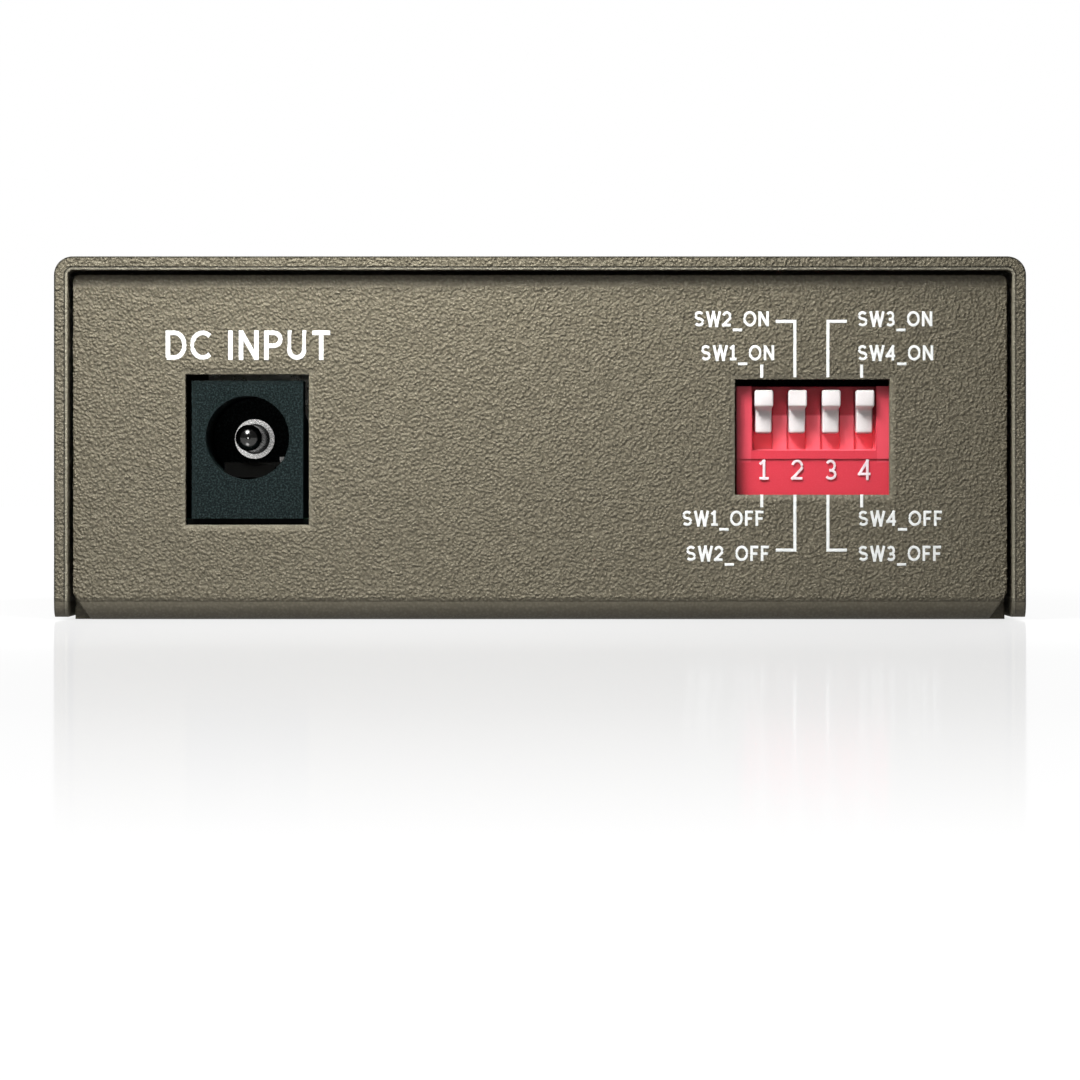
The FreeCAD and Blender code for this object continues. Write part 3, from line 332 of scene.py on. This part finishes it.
def wrinkle_coat(name, rim=False):
    """Baked wrinkle coat in taupe, smoother at the edges and low on the folds, with painted shade
    in its creases, over the fold and under the panel's top, and a painted highlight at the edges.

    With rim, it has the painted shade and highlight of the cover's cut ends in place of those of
    the panels.
    """
    material, tree = new_finish(name)
    vector = tree.places()
    place = tree.axes(vector)
    height, shade = wrinkles(tree, vector)
    coated = tree.remap(place["Z"], (FOLD_END - 0.12) * MM, (FOLD_END + 0.2) * MM, 0.12, 1.0)
    # Masks and the colour of the painted shade and highlight: of the cover's cut ends, or of the
    # panels.
    if rim:
        dark, smooth_highlight = rim_marks(tree, place)
        line, highlight_share = COAT_RIM_SHADE, 0.6
    else:
        dark, smooth_highlight = panel_marks(tree, place)
        line, highlight_share = COAT_SHADE, 0.15
        coated = tree.times(coated, tree.remap(dark, 0.0, 0.45, 1.0, 0.3))
    coated = tree.times(coated, tree.remap(smooth_highlight, 0.0, 1.0, 1.0, 0.35))
    dulling = dulling_of(tree, vector, 90.0)
    # Painted shade over the fold near the table.
    fold_shade = tree.remap(place["Z"], (FOLD_END - 0.08) * MM, (FOLD_END + 0.02) * MM, 0.6, 0.0)
    colour = tree.blend(shade, COAT_CREASE_SHADE, COAT_PAD)
    colour = tree.blend(tree.times(dulling, 0.12), colour, COAT_DULL)
    # Painted highlight at the edges of the windows and on the cover's inner edge.
    colour = tree.blend(tree.times(smooth_highlight, highlight_share), colour, COAT_EDGE_HIGHLIGHT)
    colour = tree.blend(tree.times(dark, 0.8), colour, line)
    colour = tree.blend(fold_shade, colour, COAT_SHADE)
    close_finish(
        tree,
        Base_Color=colour,
        Roughness=tree.remap(dulling, 0.0, 1.0, 0.52, 0.6),
        Normal=tree.bump(tree.times(height, coated), COAT_DEPTH, COAT_ROUNDING),
        Metallic=0.3,
        Specular_IOR_Level=0.6,
    )
    return material


PLASTIC_PATCHES = 220.0  # scale of the duller patches on plastics


def moulding(name, colour, lighter, roughness, grain, depth, specks=0.5, gloss=0.5):
    """Moulded plastic or ceramic: fine grain, lighter specks and slow changes of gloss."""
    material, tree = new_finish(name)
    vector = tree.places()
    grained = grain_of(tree, vector, grain)
    dulling = dulling_of(tree, vector, PLASTIC_PATCHES)
    close_finish(
        tree,
        Base_Color=tree.blend(tree.times(grained["Specks"], specks), colour, lighter),
        Roughness=tree.remap(dulling, 0.0, 1.0, roughness - 0.04, roughness + 0.05),
        Normal=tree.bump(grained["Height"], depth),
        Specular_IOR_Level=gloss,
    )
    return material


RED, RED_LIGHT = linear(207, 54, 69), linear(216, 72, 88)
# The border and floor colours are painted light: they lighten the borders and the floor of the
# ways, which lie in shade behind the panel.
RED_BORDER_LIT, RED_FLOOR_LIT = linear(224, 79, 95), linear(250, 112, 126)

# The switch's housing in mm: where its parts painted lighter as lit begin
BORDER_REACH = (4.72, 4.8)  # from its middle, to each side
BORDER_SILL = (11.8, 11.9)  # height
FLOOR_DEPTH = (0.25, 0.35)  # behind its face
FLOOR_HEAD = (15.35, 15.5)  # height above which the ways' floor is no longer painted lighter, where it falls into shade


def switch_moulding(name):
    """Red moulding of the switch, painted lighter as lit on its borders and on the floor of the
    ways.
    """
    material, tree = new_finish(name)
    vector = tree.places()
    place = tree.axes(vector)
    low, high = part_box("switch_housing")

    def past(value, limits, start=0.0, fall=False):
        """1 past a pair of limits, counted from a start, or 1 before them where it falls."""
        levels = (1.0, 0.0) if fall else (0.0, 1.0)
        return tree.remap(value, start + limits[0] * MM, start + limits[1] * MM, *levels)

    aside = tree.math("ABSOLUTE", tree.minus(place["X"], (low.x + high.x) / 2))
    border = tree.times(past(aside, BORDER_REACH), past(place["Z"], BORDER_SILL))
    sunk = past(place["Y"], FLOOR_DEPTH, start=low.y)
    floor = tree.times(sunk, past(place["Z"], FLOOR_HEAD, fall=True))
    grained = grain_of(tree, vector, 9000.0)
    dulling = dulling_of(tree, vector, PLASTIC_PATCHES)
    colour = tree.blend(tree.times(grained["Specks"], 0.4), RED, RED_LIGHT)
    colour = tree.blend(tree.times(border, 0.7), colour, RED_BORDER_LIT)
    close_finish(
        tree,
        Base_Color=tree.blend(floor, colour, RED_FLOOR_LIT),
        Roughness=tree.remap(dulling, 0.0, 1.0, 0.36, 0.45),
        Normal=tree.bump(grained["Height"], 0.006),
    )
    return material


def metal(name, colour, shadow, roughness, stretch=(1, 1, 1)):
    """Plated or rolled metal: fine lines along one way, and duller patches."""
    material, tree = new_finish(name)
    vector = tree.places(stretch)
    lines = tree.noise(vector, 0.12, detail=4.0, roughness=0.6)
    dulling = dulling_of(tree, vector, 300.0)
    worn = tree.plus(tree.times(dulling, 0.12), tree.times(lines, 0.1))
    close_finish(
        tree,
        Base_Color=tree.blend(tree.times(dulling, 0.6), colour, shadow),
        Metallic=1.0,
        Roughness=tree.plus(worn, roughness - 0.08),
        Normal=tree.bump(lines, 0.002),
    )
    return material


# The socket's pin: colours, and distances from its axis in mm. The nose is painted dark as a dim
# reflection, the collar painted bright as lit, and a ring of painted shade lies inside the collar.
PIN_NOSE_SHADE, PIN_COLLAR_LIT = (0.1, 0.1, 0.097, 1), (0.92, 0.91, 0.89, 1)
PIN_RING_SHADE = (0.01, 0.01, 0.01, 1)
PIN_SHADE_REACH = (1.01, 1.03, 1.15, 1.19)
COLLAR_START = (1.15, 1.2)


def centre_pin(name):
    """Polished pin with a ring of painted shade inside its collar, its nose painted dark as a dim
    reflection and its collar painted bright as lit.
    """
    material, tree = new_finish(name)
    vector = tree.places()
    place = tree.axes(vector)
    low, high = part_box("jack_centre_pin")
    across = tree.minus(place["X"], (low.x + high.x) / 2)
    up = tree.minus(place["Z"], (low.z + high.z) / 2)
    reach = tree.length(across, up)
    collar = tree.remap(reach, COLLAR_START[0] * MM, COLLAR_START[1] * MM)
    colour = tree.blend(collar, PIN_NOSE_SHADE, PIN_COLLAR_LIT)
    lines = tree.noise(vector, 0.1, detail=3.0)
    polish = tree.remap(collar, 0.0, 1.0, 0.12, 0.24)
    close_finish(
        tree,
        Base_Color=tree.blend(tree.band(reach, *PIN_SHADE_REACH), colour, PIN_RING_SHADE),
        Metallic=tree.remap(collar, 0.0, 1.0, 1.0, 0.7),
        Roughness=tree.plus(tree.times(lines, 0.06), polish),
        Normal=tree.bump(lines, 0.002),
    )
    return material


BOARD_LACQUER, BOARD_COPPER = (0.008, 0.075, 0.03, 1), (0.005, 0.045, 0.02, 1)
# The edge colour is painted shade: the board's cut rear edge is almost black, as the shade in the
# gap below the power socket.
BOARD_WEAVE, BOARD_EDGE_SHADE = (0.02, 0.12, 0.055, 1), (0.003, 0.004, 0.003, 1)
BOARD_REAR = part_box("circuit_board")[0].y  # in metres


def laminate(name):
    """Lacquered board: green over a faint weave, darker over copper, and painted almost black as
    shade at the cut rear edge.
    """
    material, tree = new_finish(name)
    vector = tree.places()
    threads = []
    for direction in ("X", "Y"):
        values = {"Vector": vector, "Scale": 480.0}
        settings = {"wave_type": "BANDS", "bands_direction": direction}
        threads.append(tree.add("ShaderNodeTexWave", values, **settings).outputs["Fac"])
    weave = tree.times(*threads)
    values = {"Vector": vector, "Scale": 160.0, "Randomness": 0.7}
    areas = tree.add("ShaderNodeTexVoronoi", values, distance="MANHATTAN").outputs["Distance"]
    copper = tree.remap(areas, 0.35, 0.4)
    depth = tree.axes(vector)["Y"]
    cut = tree.remap(depth, BOARD_REAR + 0.02 * MM, BOARD_REAR + 0.05 * MM, 1.0, 0.0)
    colour = tree.blend(copper, BOARD_LACQUER, BOARD_COPPER)
    colour = tree.blend(tree.times(weave, 0.25), colour, BOARD_WEAVE)
    close_finish(
        tree,
        Base_Color=tree.blend(cut, colour, BOARD_EDGE_SHADE),
        Roughness=tree.remap(weave, 0.0, 1.0, 0.28, 0.36),
        Normal=tree.bump(tree.plus(copper, tree.times(weave, 0.2)), 0.02),
        Specular_IOR_Level=tree.remap(cut, 0.0, 1.0, 0.5, 0.03),
    )
    return material


def lens(name):
    """Clouded lamp lens in pale green."""
    material, tree = new_finish(name)
    vector = tree.places()
    cloud = tree.noise(vector, 1.6)
    close_finish(
        tree,
        Base_Color=tree.blend(cloud, (0.62, 0.72, 0.55, 1), (0.78, 0.83, 0.72, 1)),
        Roughness=tree.remap(cloud, 0.3, 0.7, 0.18, 0.26),
        Normal=tree.bump(tree.noise(vector, 0.2), 0.003),
    )
    return material


def ink(name, thin, full):
    """White printing ink, thinner in places, and a little uneven."""
    material, tree = new_finish(name)
    vector = tree.places()
    patch = tree.noise(vector, 0.35, detail=3.0)
    close_finish(
        tree,
        Base_Color=tree.blend(tree.remap(patch, 0.35, 0.7), thin, full),
        Roughness=tree.remap(patch, 0.3, 0.7, 0.5, 0.6),
        Normal=tree.bump(tree.noise(vector, 0.6, detail=1.5), 0.04),
    )
    return material


# Plastics and ceramics: colour, colour of the specks, roughness, grain, its depth in mm,
# and where they differ, share of the specks and level of gloss
MOULDINGS = {
    "black_moulding": (linear(12, 20, 20), linear(48, 60, 60), 0.5, 7000.0, 0.03, 0.9, 0.08),
    "white_moulding": (linear(222, 216, 215), linear(232, 227, 226), 0.4, 9000.0, 0.004),
    "blue_moulding": (linear(35, 88, 168), linear(60, 110, 188), 0.4, 8000.0, 0.005),
    "chip_moulding": (linear(32, 33, 35), linear(58, 59, 62), 0.6, 12000.0, 0.01),
    "ferrite": (linear(62, 62, 63), linear(92, 92, 93), 0.65, 9000.0, 0.02),
    "tan_ceramic": (linear(172, 142, 104), linear(190, 160, 120), 0.45, 9000.0, 0.006),
    "white_ceramic": (linear(240, 239, 233), linear(248, 247, 242), 0.2, 6000.0, 0.002),
}
# Metals: colour, colour of the duller patches, roughness and stretch of the fine lines
METALS = {
    "zinc_plated_steel": ((0.66, 0.66, 0.64, 1), (0.5, 0.5, 0.49, 1), 0.34),
    "nickel_plated_steel": ((0.74, 0.72, 0.68, 1), (0.58, 0.56, 0.52, 1), 0.26, (1, 6, 1)),
    "tinned_metal": ((0.72, 0.71, 0.69, 1), (0.52, 0.51, 0.5, 1), 0.36),
    "nickel_plated_brass": ((0.82, 0.81, 0.79, 1), (0.66, 0.65, 0.62, 1), 0.22, (1, 8, 1)),
    "gold_plating": ((0.9, 0.66, 0.27, 1), (0.78, 0.52, 0.2, 1), 0.2, (6, 1, 6)),
    "drawn_aluminium": ((0.86, 0.86, 0.87, 1), (0.7, 0.7, 0.71, 1), 0.32, (6, 6, 1)),
    # The spring's bronze is coloured almost black as painted shade, so that it stays dark deep in
    # the socket.
    "shaded_spring_bronze": ((0.012, 0.012, 0.011, 1), (0.008, 0.008, 0.008, 1), 0.6),
    "contact_bronze": ((0.3, 0.29, 0.28, 1), (0.2, 0.2, 0.19, 1), 0.5),
}
made = {name: moulding(name, *values) for name, values in MOULDINGS.items()}
made.update({name: metal(name, *values) for name, values in METALS.items()})

# Finish of each material slot of the record
FINISHES = {
    "taupe_powder_coat": wrinkle_coat("wrinkle_coat"),
    "black_plastic": made["black_moulding"],
    "red_plastic": switch_moulding("red_moulding"),
    "white_plastic": made["white_moulding"],
    "blue_plastic": made["blue_moulding"],
    "chip_package": made["chip_moulding"],
    "grey_ferrite": made["ferrite"],
    "tan_ceramic": made["tan_ceramic"],
    "white_ceramic": made["white_ceramic"],
    "zinc_steel": made["zinc_plated_steel"],
    "nickel_steel": made["nickel_plated_steel"],
    "tinned_metal": made["tinned_metal"],
    "nickel_brass": made["nickel_plated_brass"],
    "gold_contacts": made["gold_plating"],
    "can_aluminium": made["drawn_aluminium"],
    "green_laminate": laminate("lacquered_board"),
    "lamp_lens": lens("clouded_lens"),
}
# Nodes whose finish isn't that of their slot
SPECIAL = {
    "top_cover": wrinkle_coat("cover_coat", rim=True),
    "jack_centre_pin": centre_pin("polished_pin"),
    "jack_sleeve_spring": made["shaded_spring_bronze"],
    "jack_switch_contact": made["contact_bronze"],
}
INK = ink("white_ink", linear(226, 228, 226), linear(236, 238, 236))
PAD_INK = ink("pad_ink", linear(228, 208, 212), linear(240, 222, 226))


def finish_of(node):
    return SPECIAL.get(node, FINISHES[slot_of[node]])


def finish(piece, material):
    piece.data.materials.clear()
    piece.data.materials.append(material)
    for face in piece.data.polygons:
        face.material_index = 0


for name, node in nodes.items():
    for place in node.material_slots:
        place.material = finish_of(name)


# Pieces


def only(piece):
    """Makes a piece the one that the operators act on."""
    bpy.ops.object.select_all(action="DESELECT")
    piece.select_set(True)
    bpy.context.view_layer.objects.active = piece


def apply_modifier(piece, kind, **settings):
    modifier = piece.modifiers.new(kind.lower(), kind)
    for name, value in settings.items():
        setattr(modifier, name, value)
    only(piece)
    bpy.ops.object.modifier_apply(modifier=modifier.name)


def place_piece(piece, body, material):
    finish(piece, material)
    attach(piece, body)
    return piece


SHARP_ANGLE = 32  # in degrees: edges turning by more are rounded
SMOOTH_ANGLE = 35  # faces meeting at less are shaded as one


def softened(node, name, radius, steps=3):
    """Copy of a solid with its sharp edges rounded, shown in its place."""
    piece = bpy.data.objects.new(name, nodes[node].data.copy())
    bpy.context.scene.collection.objects.link(piece)
    only(piece)
    bpy.ops.object.mode_set(mode="EDIT")
    bpy.ops.mesh.select_all(action="SELECT")
    bpy.ops.mesh.customdata_custom_splitnormals_clear()
    bpy.ops.mesh.remove_doubles(threshold=MERGE * MM)
    bpy.ops.object.mode_set(mode="OBJECT")
    apply_modifier(
        piece,
        "BEVEL",
        width=radius * MM,
        segments=steps,
        limit_method="ANGLE",
        angle_limit=math.radians(SHARP_ANGLE),
        use_clamp_overlap=True,
    )
    only(piece)
    bpy.ops.object.shade_smooth_by_angle(angle=math.radians(SMOOTH_ANGLE))
    apply_modifier(piece, "WEIGHTED_NORMAL", keep_sharp=True, weight=100)
    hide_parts(node)
    return place_piece(piece, body_of[node], finish_of(node))


# Radius in mm and steps of the rounding
softened("jack_housing", "power_socket_body", 0.1)
softened("switch_housing", "option_switch_body", 0.05, steps=2)
for way in WAYS:
    softened(f"switch_slider_{way}", f"switch_lever_{way}", 0.16)


# Printing


def arc(x, z, across, up, start, end, steps=10):
    """Points on an upright ellipse, from one angle to another in degrees."""
    turns = [math.radians(start + (end - start) * step / steps) for step in range(steps + 1)]
    return [(x + across * math.cos(turn), z + up * math.sin(turn)) for turn in turns]


# Width and strokes of each sign, for capitals 1 high
SIGNS = {
    " ": (0.18, []),
    "_": (0.5, [[(-0.06, -0.24), (0.56, -0.24)]]),
    "1": (0.4, [[(0.02, 0.76), (0.22, 0.92), (0.22, 0.0)], [(0.0, 0.08), (0.44, 0.08)]]),
    "2": (0.5, [arc(0.25, 0.66, 0.23, 0.26, 165, -30) + [(0.02, 0.08), (0.5, 0.08)]]),
    "3": (0.5, [arc(0.24, 0.69, 0.2, 0.23, 150, -90, 8) + arc(0.24, 0.27, 0.23, 0.2, 90, -150, 8)]),
    "4": (0.56, [[(0.42, 0.0), (0.42, 0.92), (0.03, 0.29), (0.57, 0.29)]]),
    "C": (0.68, [arc(0.4, 0.5, 0.36, 0.42, 48, 312, 14)]),
    "D": (
        0.66,
        [[(0.08, 0.08), (0.08, 0.92)] + arc(0.3, 0.5, 0.34, 0.42, 90, -90) + [(0.04, 0.08)]],
    ),
    "F": (0.5, [[(0.08, 0.0), (0.08, 0.92), (0.52, 0.92)], [(0.08, 0.48), (0.46, 0.48)]]),
    "I": (0.16, [[(0.08, 0.0), (0.08, 1.0)]]),
    "P": (
        0.58,
        [[(0.08, 0.0), (0.08, 0.92)] + arc(0.32, 0.7, 0.24, 0.22, 90, -90, 8) + [(0.04, 0.48)]],
    ),
    "T": (0.6, [[(0.0, 0.92), (0.6, 0.92)], [(0.3, 0.0), (0.3, 0.96)]]),
    "U": (0.66, [[(0.08, 1.0)] + arc(0.33, 0.34, 0.25, 0.26, 180, 360) + [(0.58, 1.0)]]),
    "N": (
        0.66,
        [[(0.08, 0.0), (0.08, 1.0)], [(0.08, 0.96), (0.6, 0.04)], [(0.6, 0.0), (0.6, 1.0)]],
    ),
    "O": (0.76, [arc(0.38, 0.5, 0.35, 0.43, 0, 360, 20)]),
    "S": (0.6, [arc(0.3, 0.71, 0.23, 0.21, 30, 270, 9) + arc(0.3, 0.29, 0.25, 0.21, 90, -150, 9)]),
    "W": (0.9, [[(0.03, 1.0), (0.25, 0.04), (0.46, 0.94), (0.67, 0.04), (0.89, 1.0)]]),
}
SIGN_GAP = 0.2  # between signs, for capitals 1 high
CORNER_ANGLE = 40  # in degrees: where a path turns by more, the ink has a corner
INK_SMOOTH_ANGLE = 50


def runs(path, width):
    """Splits a path at its corners, where each part reaches half a width further."""
    far = width / 50  # closer points are left out
    kept = [here for here, last in zip(path[1:], path) if math.dist(here, last) > far]
    path = [path[0]] + kept
    parts, part = [], [Vector(path[0])]
    for before, here, after in zip(path, path[1:], path[2:]):
        along, onward = Vector(here) - Vector(before), Vector(after) - Vector(here)
        part.append(Vector(here))
        if along.angle(onward) > math.radians(CORNER_ANGLE):
            part[-1] = part[-1] + along.normalized() * width / 2
            parts.append(part)
            part = [Vector(here) - onward.normalized() * width / 2]
    part.append(Vector(path[-1]))
    return parts + [part]


def strokes(name, paths, width, face, material=INK):
    """Flat bands of ink along paths of (x, z) points, on an upright face: all in mm."""
    curve = bpy.data.curves.new(name, "CURVE")
    curve.dimensions = "3D"
    curve.twist_mode = "Z_UP"
    curve.bevel_depth = width / 2 * MM
    curve.bevel_resolution = 2
    curve.use_fill_caps = True
    for path in [part for path in paths for part in runs(path, width)]:
        closed = len(path) > 2 and math.dist(path[0], path[-1]) < width / 10
        points = path[:-1] if closed else path
        spline = curve.splines.new("POLY")
        spline.points.add(len(points) - 1)
        for point, (x, z) in zip(spline.points, points):
            point.co = (x * MM, 0, z * MM, 1)
        spline.use_cyclic_u = closed
    piece = bpy.data.objects.new(name, curve)
    bpy.context.scene.collection.objects.link(piece)
    only(piece)
    bpy.ops.object.convert(target="MESH")
    piece = bpy.context.object
    only(piece)
    bpy.ops.object.mode_set(mode="EDIT")
    bpy.ops.mesh.select_all(action="SELECT")
    bpy.ops.mesh.remove_doubles(threshold=MERGE * MM)
    flat = (INK_RISE + INK_ROOT) / width
    bpy.ops.transform.resize(value=(1, flat, 1), center_override=(0, 0, 0))
    middle = face - (INK_RISE - INK_ROOT) / 2
    bpy.ops.transform.translate(value=(0, middle * MM, 0))
    bpy.ops.mesh.normals_make_consistent(inside=False)
    bpy.ops.object.mode_set(mode="OBJECT")
    bpy.ops.object.shade_smooth_by_angle(angle=math.radians(INK_SMOOTH_ANGLE))
    piece.name = piece.data.name = name
    return place_piece(piece, "case", material)


def word(text, edge, baseline, capital, share=0.0):
    """Paths of a line of signs, of which a share lies to the left of the edge."""
    widths = [SIGNS[sign][0] * capital for sign in text]
    gap = SIGN_GAP * capital
    paths, x = [], edge - share * (sum(widths) + gap * (len(text) - 1))
    for sign, width in zip(text, widths):
        for stroke in SIGNS[sign][1]:
            paths.append([(x + u * capital, baseline + v * capital) for u, v in stroke])
        x += width + gap
    return paths


strokes("socket_lettering", word("DC INPUT", -22.0, 19.55, 2.22, 0.5), 0.34, PANEL_FACE)

# Words beside the switch: inner edge and baseline, with the words on the left ending there
SWITCH_WORDS = {
    "SW2_ON": (17.2, 22.08),
    "SW1_ON": (17.6, 19.52),
    "SW3_ON": (23.95, 22.08),
    "SW4_ON": (23.95, 19.52),
    "SW1_OFF": (16.8, 7.06),
    "SW2_OFF": (17.2, 4.42),
    "SW4_OFF": (24.0, 7.06),
    "SW3_OFF": (24.0, 4.42),
}
WORD_CAPITAL = 1.13
FINE_STROKE = 0.2
switch_low, switch_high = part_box("switch_housing")
switch_middle = (switch_low.x + switch_high.x) / 2 / MM
switch_words = []
for text, (edge, baseline) in SWITCH_WORDS.items():
    share = 1.0 if edge < switch_middle else 0.0
    switch_words += word(text, edge, baseline, WORD_CAPITAL, share)
strokes("switch_lettering", switch_words, FINE_STROKE, PANEL_FACE)

# Lines from the words to the ways of the switch, whose ends keep clear of the window
OUTER_WAYS, INNER_WAYS = (16.7, 24.22), (19.19, 21.68)
WORD_ENDS = (17.75, 23.1)
LINE_WIDTH = 0.23
leaders = []
for outer, inner, end in zip(OUTER_WAYS, INNER_WAYS, WORD_ENDS):
    leaders += [[(outer, 19.2), (outer, 18.2)], [(end, 22.45), (inner, 22.45), (inner, 18.25)]]
    leaders += [[(outer, 8.45), (outer, 9.42)], [(end, 5.23), (inner, 5.23), (inner, 9.4)]]
strokes("switch_leaders", leaders, LINE_WIDTH, PANEL_FACE)

DIGIT_BASELINE, DIGIT_CAPITAL = 10.51, 1.57
for way in WAYS:
    low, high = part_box(f"switch_slider_{way}")
    digit = word(str(way), (low.x + high.x) / 2 / MM, DIGIT_BASELINE, DIGIT_CAPITAL, 0.5)
    strokes(f"switch_digit_{way}", digit, FINE_STROKE, SWITCH_FACE, PAD_INK)


# Table, light and camera

TABLE_SIZE = 6.0  # in metres
TABLE_DROP = 0.01  # in mm below the case
TABLE_GREY = 0.1
TABLE_POLISH = 0.22  # share mirrored beside the case
POLISH_REACH = (60, 290)  # in mm from the middle of the case, where the mirror fades out
LEVEL_REACH = (200, 350)  # in mm, where the table becomes as white as the room
SHADE_REACH = 60  # in mm before and behind, between which its mirrored white changes
TABLE_GLOW = 0.06  # least light that it gives


def background_masks(tree):
    """1 for what the camera sees, straight or through glass, and 1 for what is mirrored."""
    path = tree.add("ShaderNodeLightPath").outputs
    straight = tree.larger(path["Is Camera Ray"], path["Is Transmission Ray"])
    return straight, path["Is Glossy Ray"]


def table():
    """White polished table: it mirrors the nearest pieces faintly and keeps their shadow."""
    bpy.ops.mesh.primitive_plane_add(size=TABLE_SIZE, location=(0, 0, -TABLE_DROP * MM))
    plane = bpy.context.object
    plane.name = "table"
    material, tree = new_finish("polished_table")
    vector = tree.places()
    away = tree.add("ShaderNodeVectorMath", {0: vector}, operation="LENGTH").outputs["Value"]
    reach = tree.remap(away, POLISH_REACH[0] * MM, POLISH_REACH[1] * MM)
    polish = tree.times(tree.minus(1.0, tree.math("POWER", reach, 2.5)), TABLE_POLISH)
    grey = (TABLE_GREY, TABLE_GREY, TABLE_GREY, 1)
    diffuse = tree.add("ShaderNodeBsdfDiffuse", {"Color": grey})
    gloss = tree.add("ShaderNodeBsdfGlossy", {"Color": (1, 1, 1, 1), "Roughness": 0.08})
    mixed = tree.add("ShaderNodeMixShader", {0: polish, 1: diffuse.outputs[0], 2: gloss.outputs[0]})
    straight, mirrored = background_masks(tree)
    depth = tree.axes(vector)["Y"]
    behind = tree.remap(depth, -SHADE_REACH * MM, SHADE_REACH * MM, 0.6, 1.0)
    white = tree.larger(straight, tree.times(mirrored, behind))
    level = tree.remap(away, LEVEL_REACH[0] * MM, LEVEL_REACH[1] * MM, 0.92, 1.0)
    glow = tree.larger(tree.times(white, tree.minus(level, polish)), TABLE_GLOW)
    shine = tree.add("ShaderNodeEmission", {"Color": (1, 1, 1, 1), "Strength": glow})
    total = tree.add("ShaderNodeAddShader", {0: mixed.outputs[0], 1: shine.outputs[0]})
    tree.add("ShaderNodeOutputMaterial", {"Surface": total.outputs[0]})
    finish(plane, material)


def surroundings():
    """White room, dim on the side that the rear panel looks at."""
    world = bpy.data.worlds.new("studio")
    bpy.context.scene.world = world
    world.use_nodes = True
    world.node_tree.nodes.clear()
    tree = Tree(world.node_tree)
    way = tree.add("ShaderNodeTexCoord").outputs["Generated"]
    back = tree.axes(way)["Y"]
    fill = tree.remap(back, -0.3, 0.8, 0.27, 0.7)
    straight, mirrored = background_masks(tree)
    fill = tree.times(fill, tree.minus(1.0, mirrored))
    mirror_level = tree.times(mirrored, tree.remap(back, -0.3, 0.4, 0.1, 1.0))
    level = tree.larger(straight, tree.larger(mirror_level, fill))
    room = tree.add("ShaderNodeBackground", {"Color": (1, 1, 1, 1), "Strength": level})
    tree.add("ShaderNodeOutputWorld", {"Surface": room.outputs[0]})


def lamp(name, place, target, size, power, spread, glossy):
    bpy.ops.object.light_add(type="AREA", location=[value * MM for value in place])
    light = bpy.context.object
    light.name = name
    light.data.shape = "DISK"
    light.data.size = size * MM
    light.data.energy = power
    light.data.spread = math.radians(spread)
    light.visible_camera = False
    light.visible_glossy = glossy
    direction = Vector(target) - Vector(place)
    light.rotation_euler = direction.to_track_quat("-Z", "Y").to_euler()


def camera():
    place = (0.0, (COVER_FACE - CAMERA_DISTANCE) * MM, CAMERA_HEIGHT * MM)
    bpy.ops.object.camera_add(location=place, rotation=(math.pi / 2, 0, 0))
    view = bpy.context.object
    view.data.sensor_width = SENSOR
    view.data.lens = SENSOR * CAMERA_DISTANCE / FRAME_WIDTH
    view.data.shift_y = (VIEW_MIDDLE - CAMERA_HEIGHT) / FRAME_WIDTH
    view.data.clip_start = 0.01
    view.data.clip_end = 50.0
    bpy.context.scene.camera = view


# Place, target and size in mm, power in watts, spread in degrees, and whether it is mirrored
LAMPS = {
    "key_lamp": ((-62, -196, 168), (-70, -46, 82), 90, 0.14, 85, True),
    "top_lamp": ((-14, -84, 74), (-5, -46, 30), 30, 0.058, 140, False),
    "front_lamp": ((-45, -420, 22), (-10, -46, 12), 50, 0.022, 180, True),
    "far_lamp": ((110, 300, 240), (0, 20, 10), 90, 1.0, 180, False),
}
table()
surroundings()
for name, values in LAMPS.items():
    lamp(name, *values)
camera()
bpy.context.scene.view_settings.view_transform = "Standard"
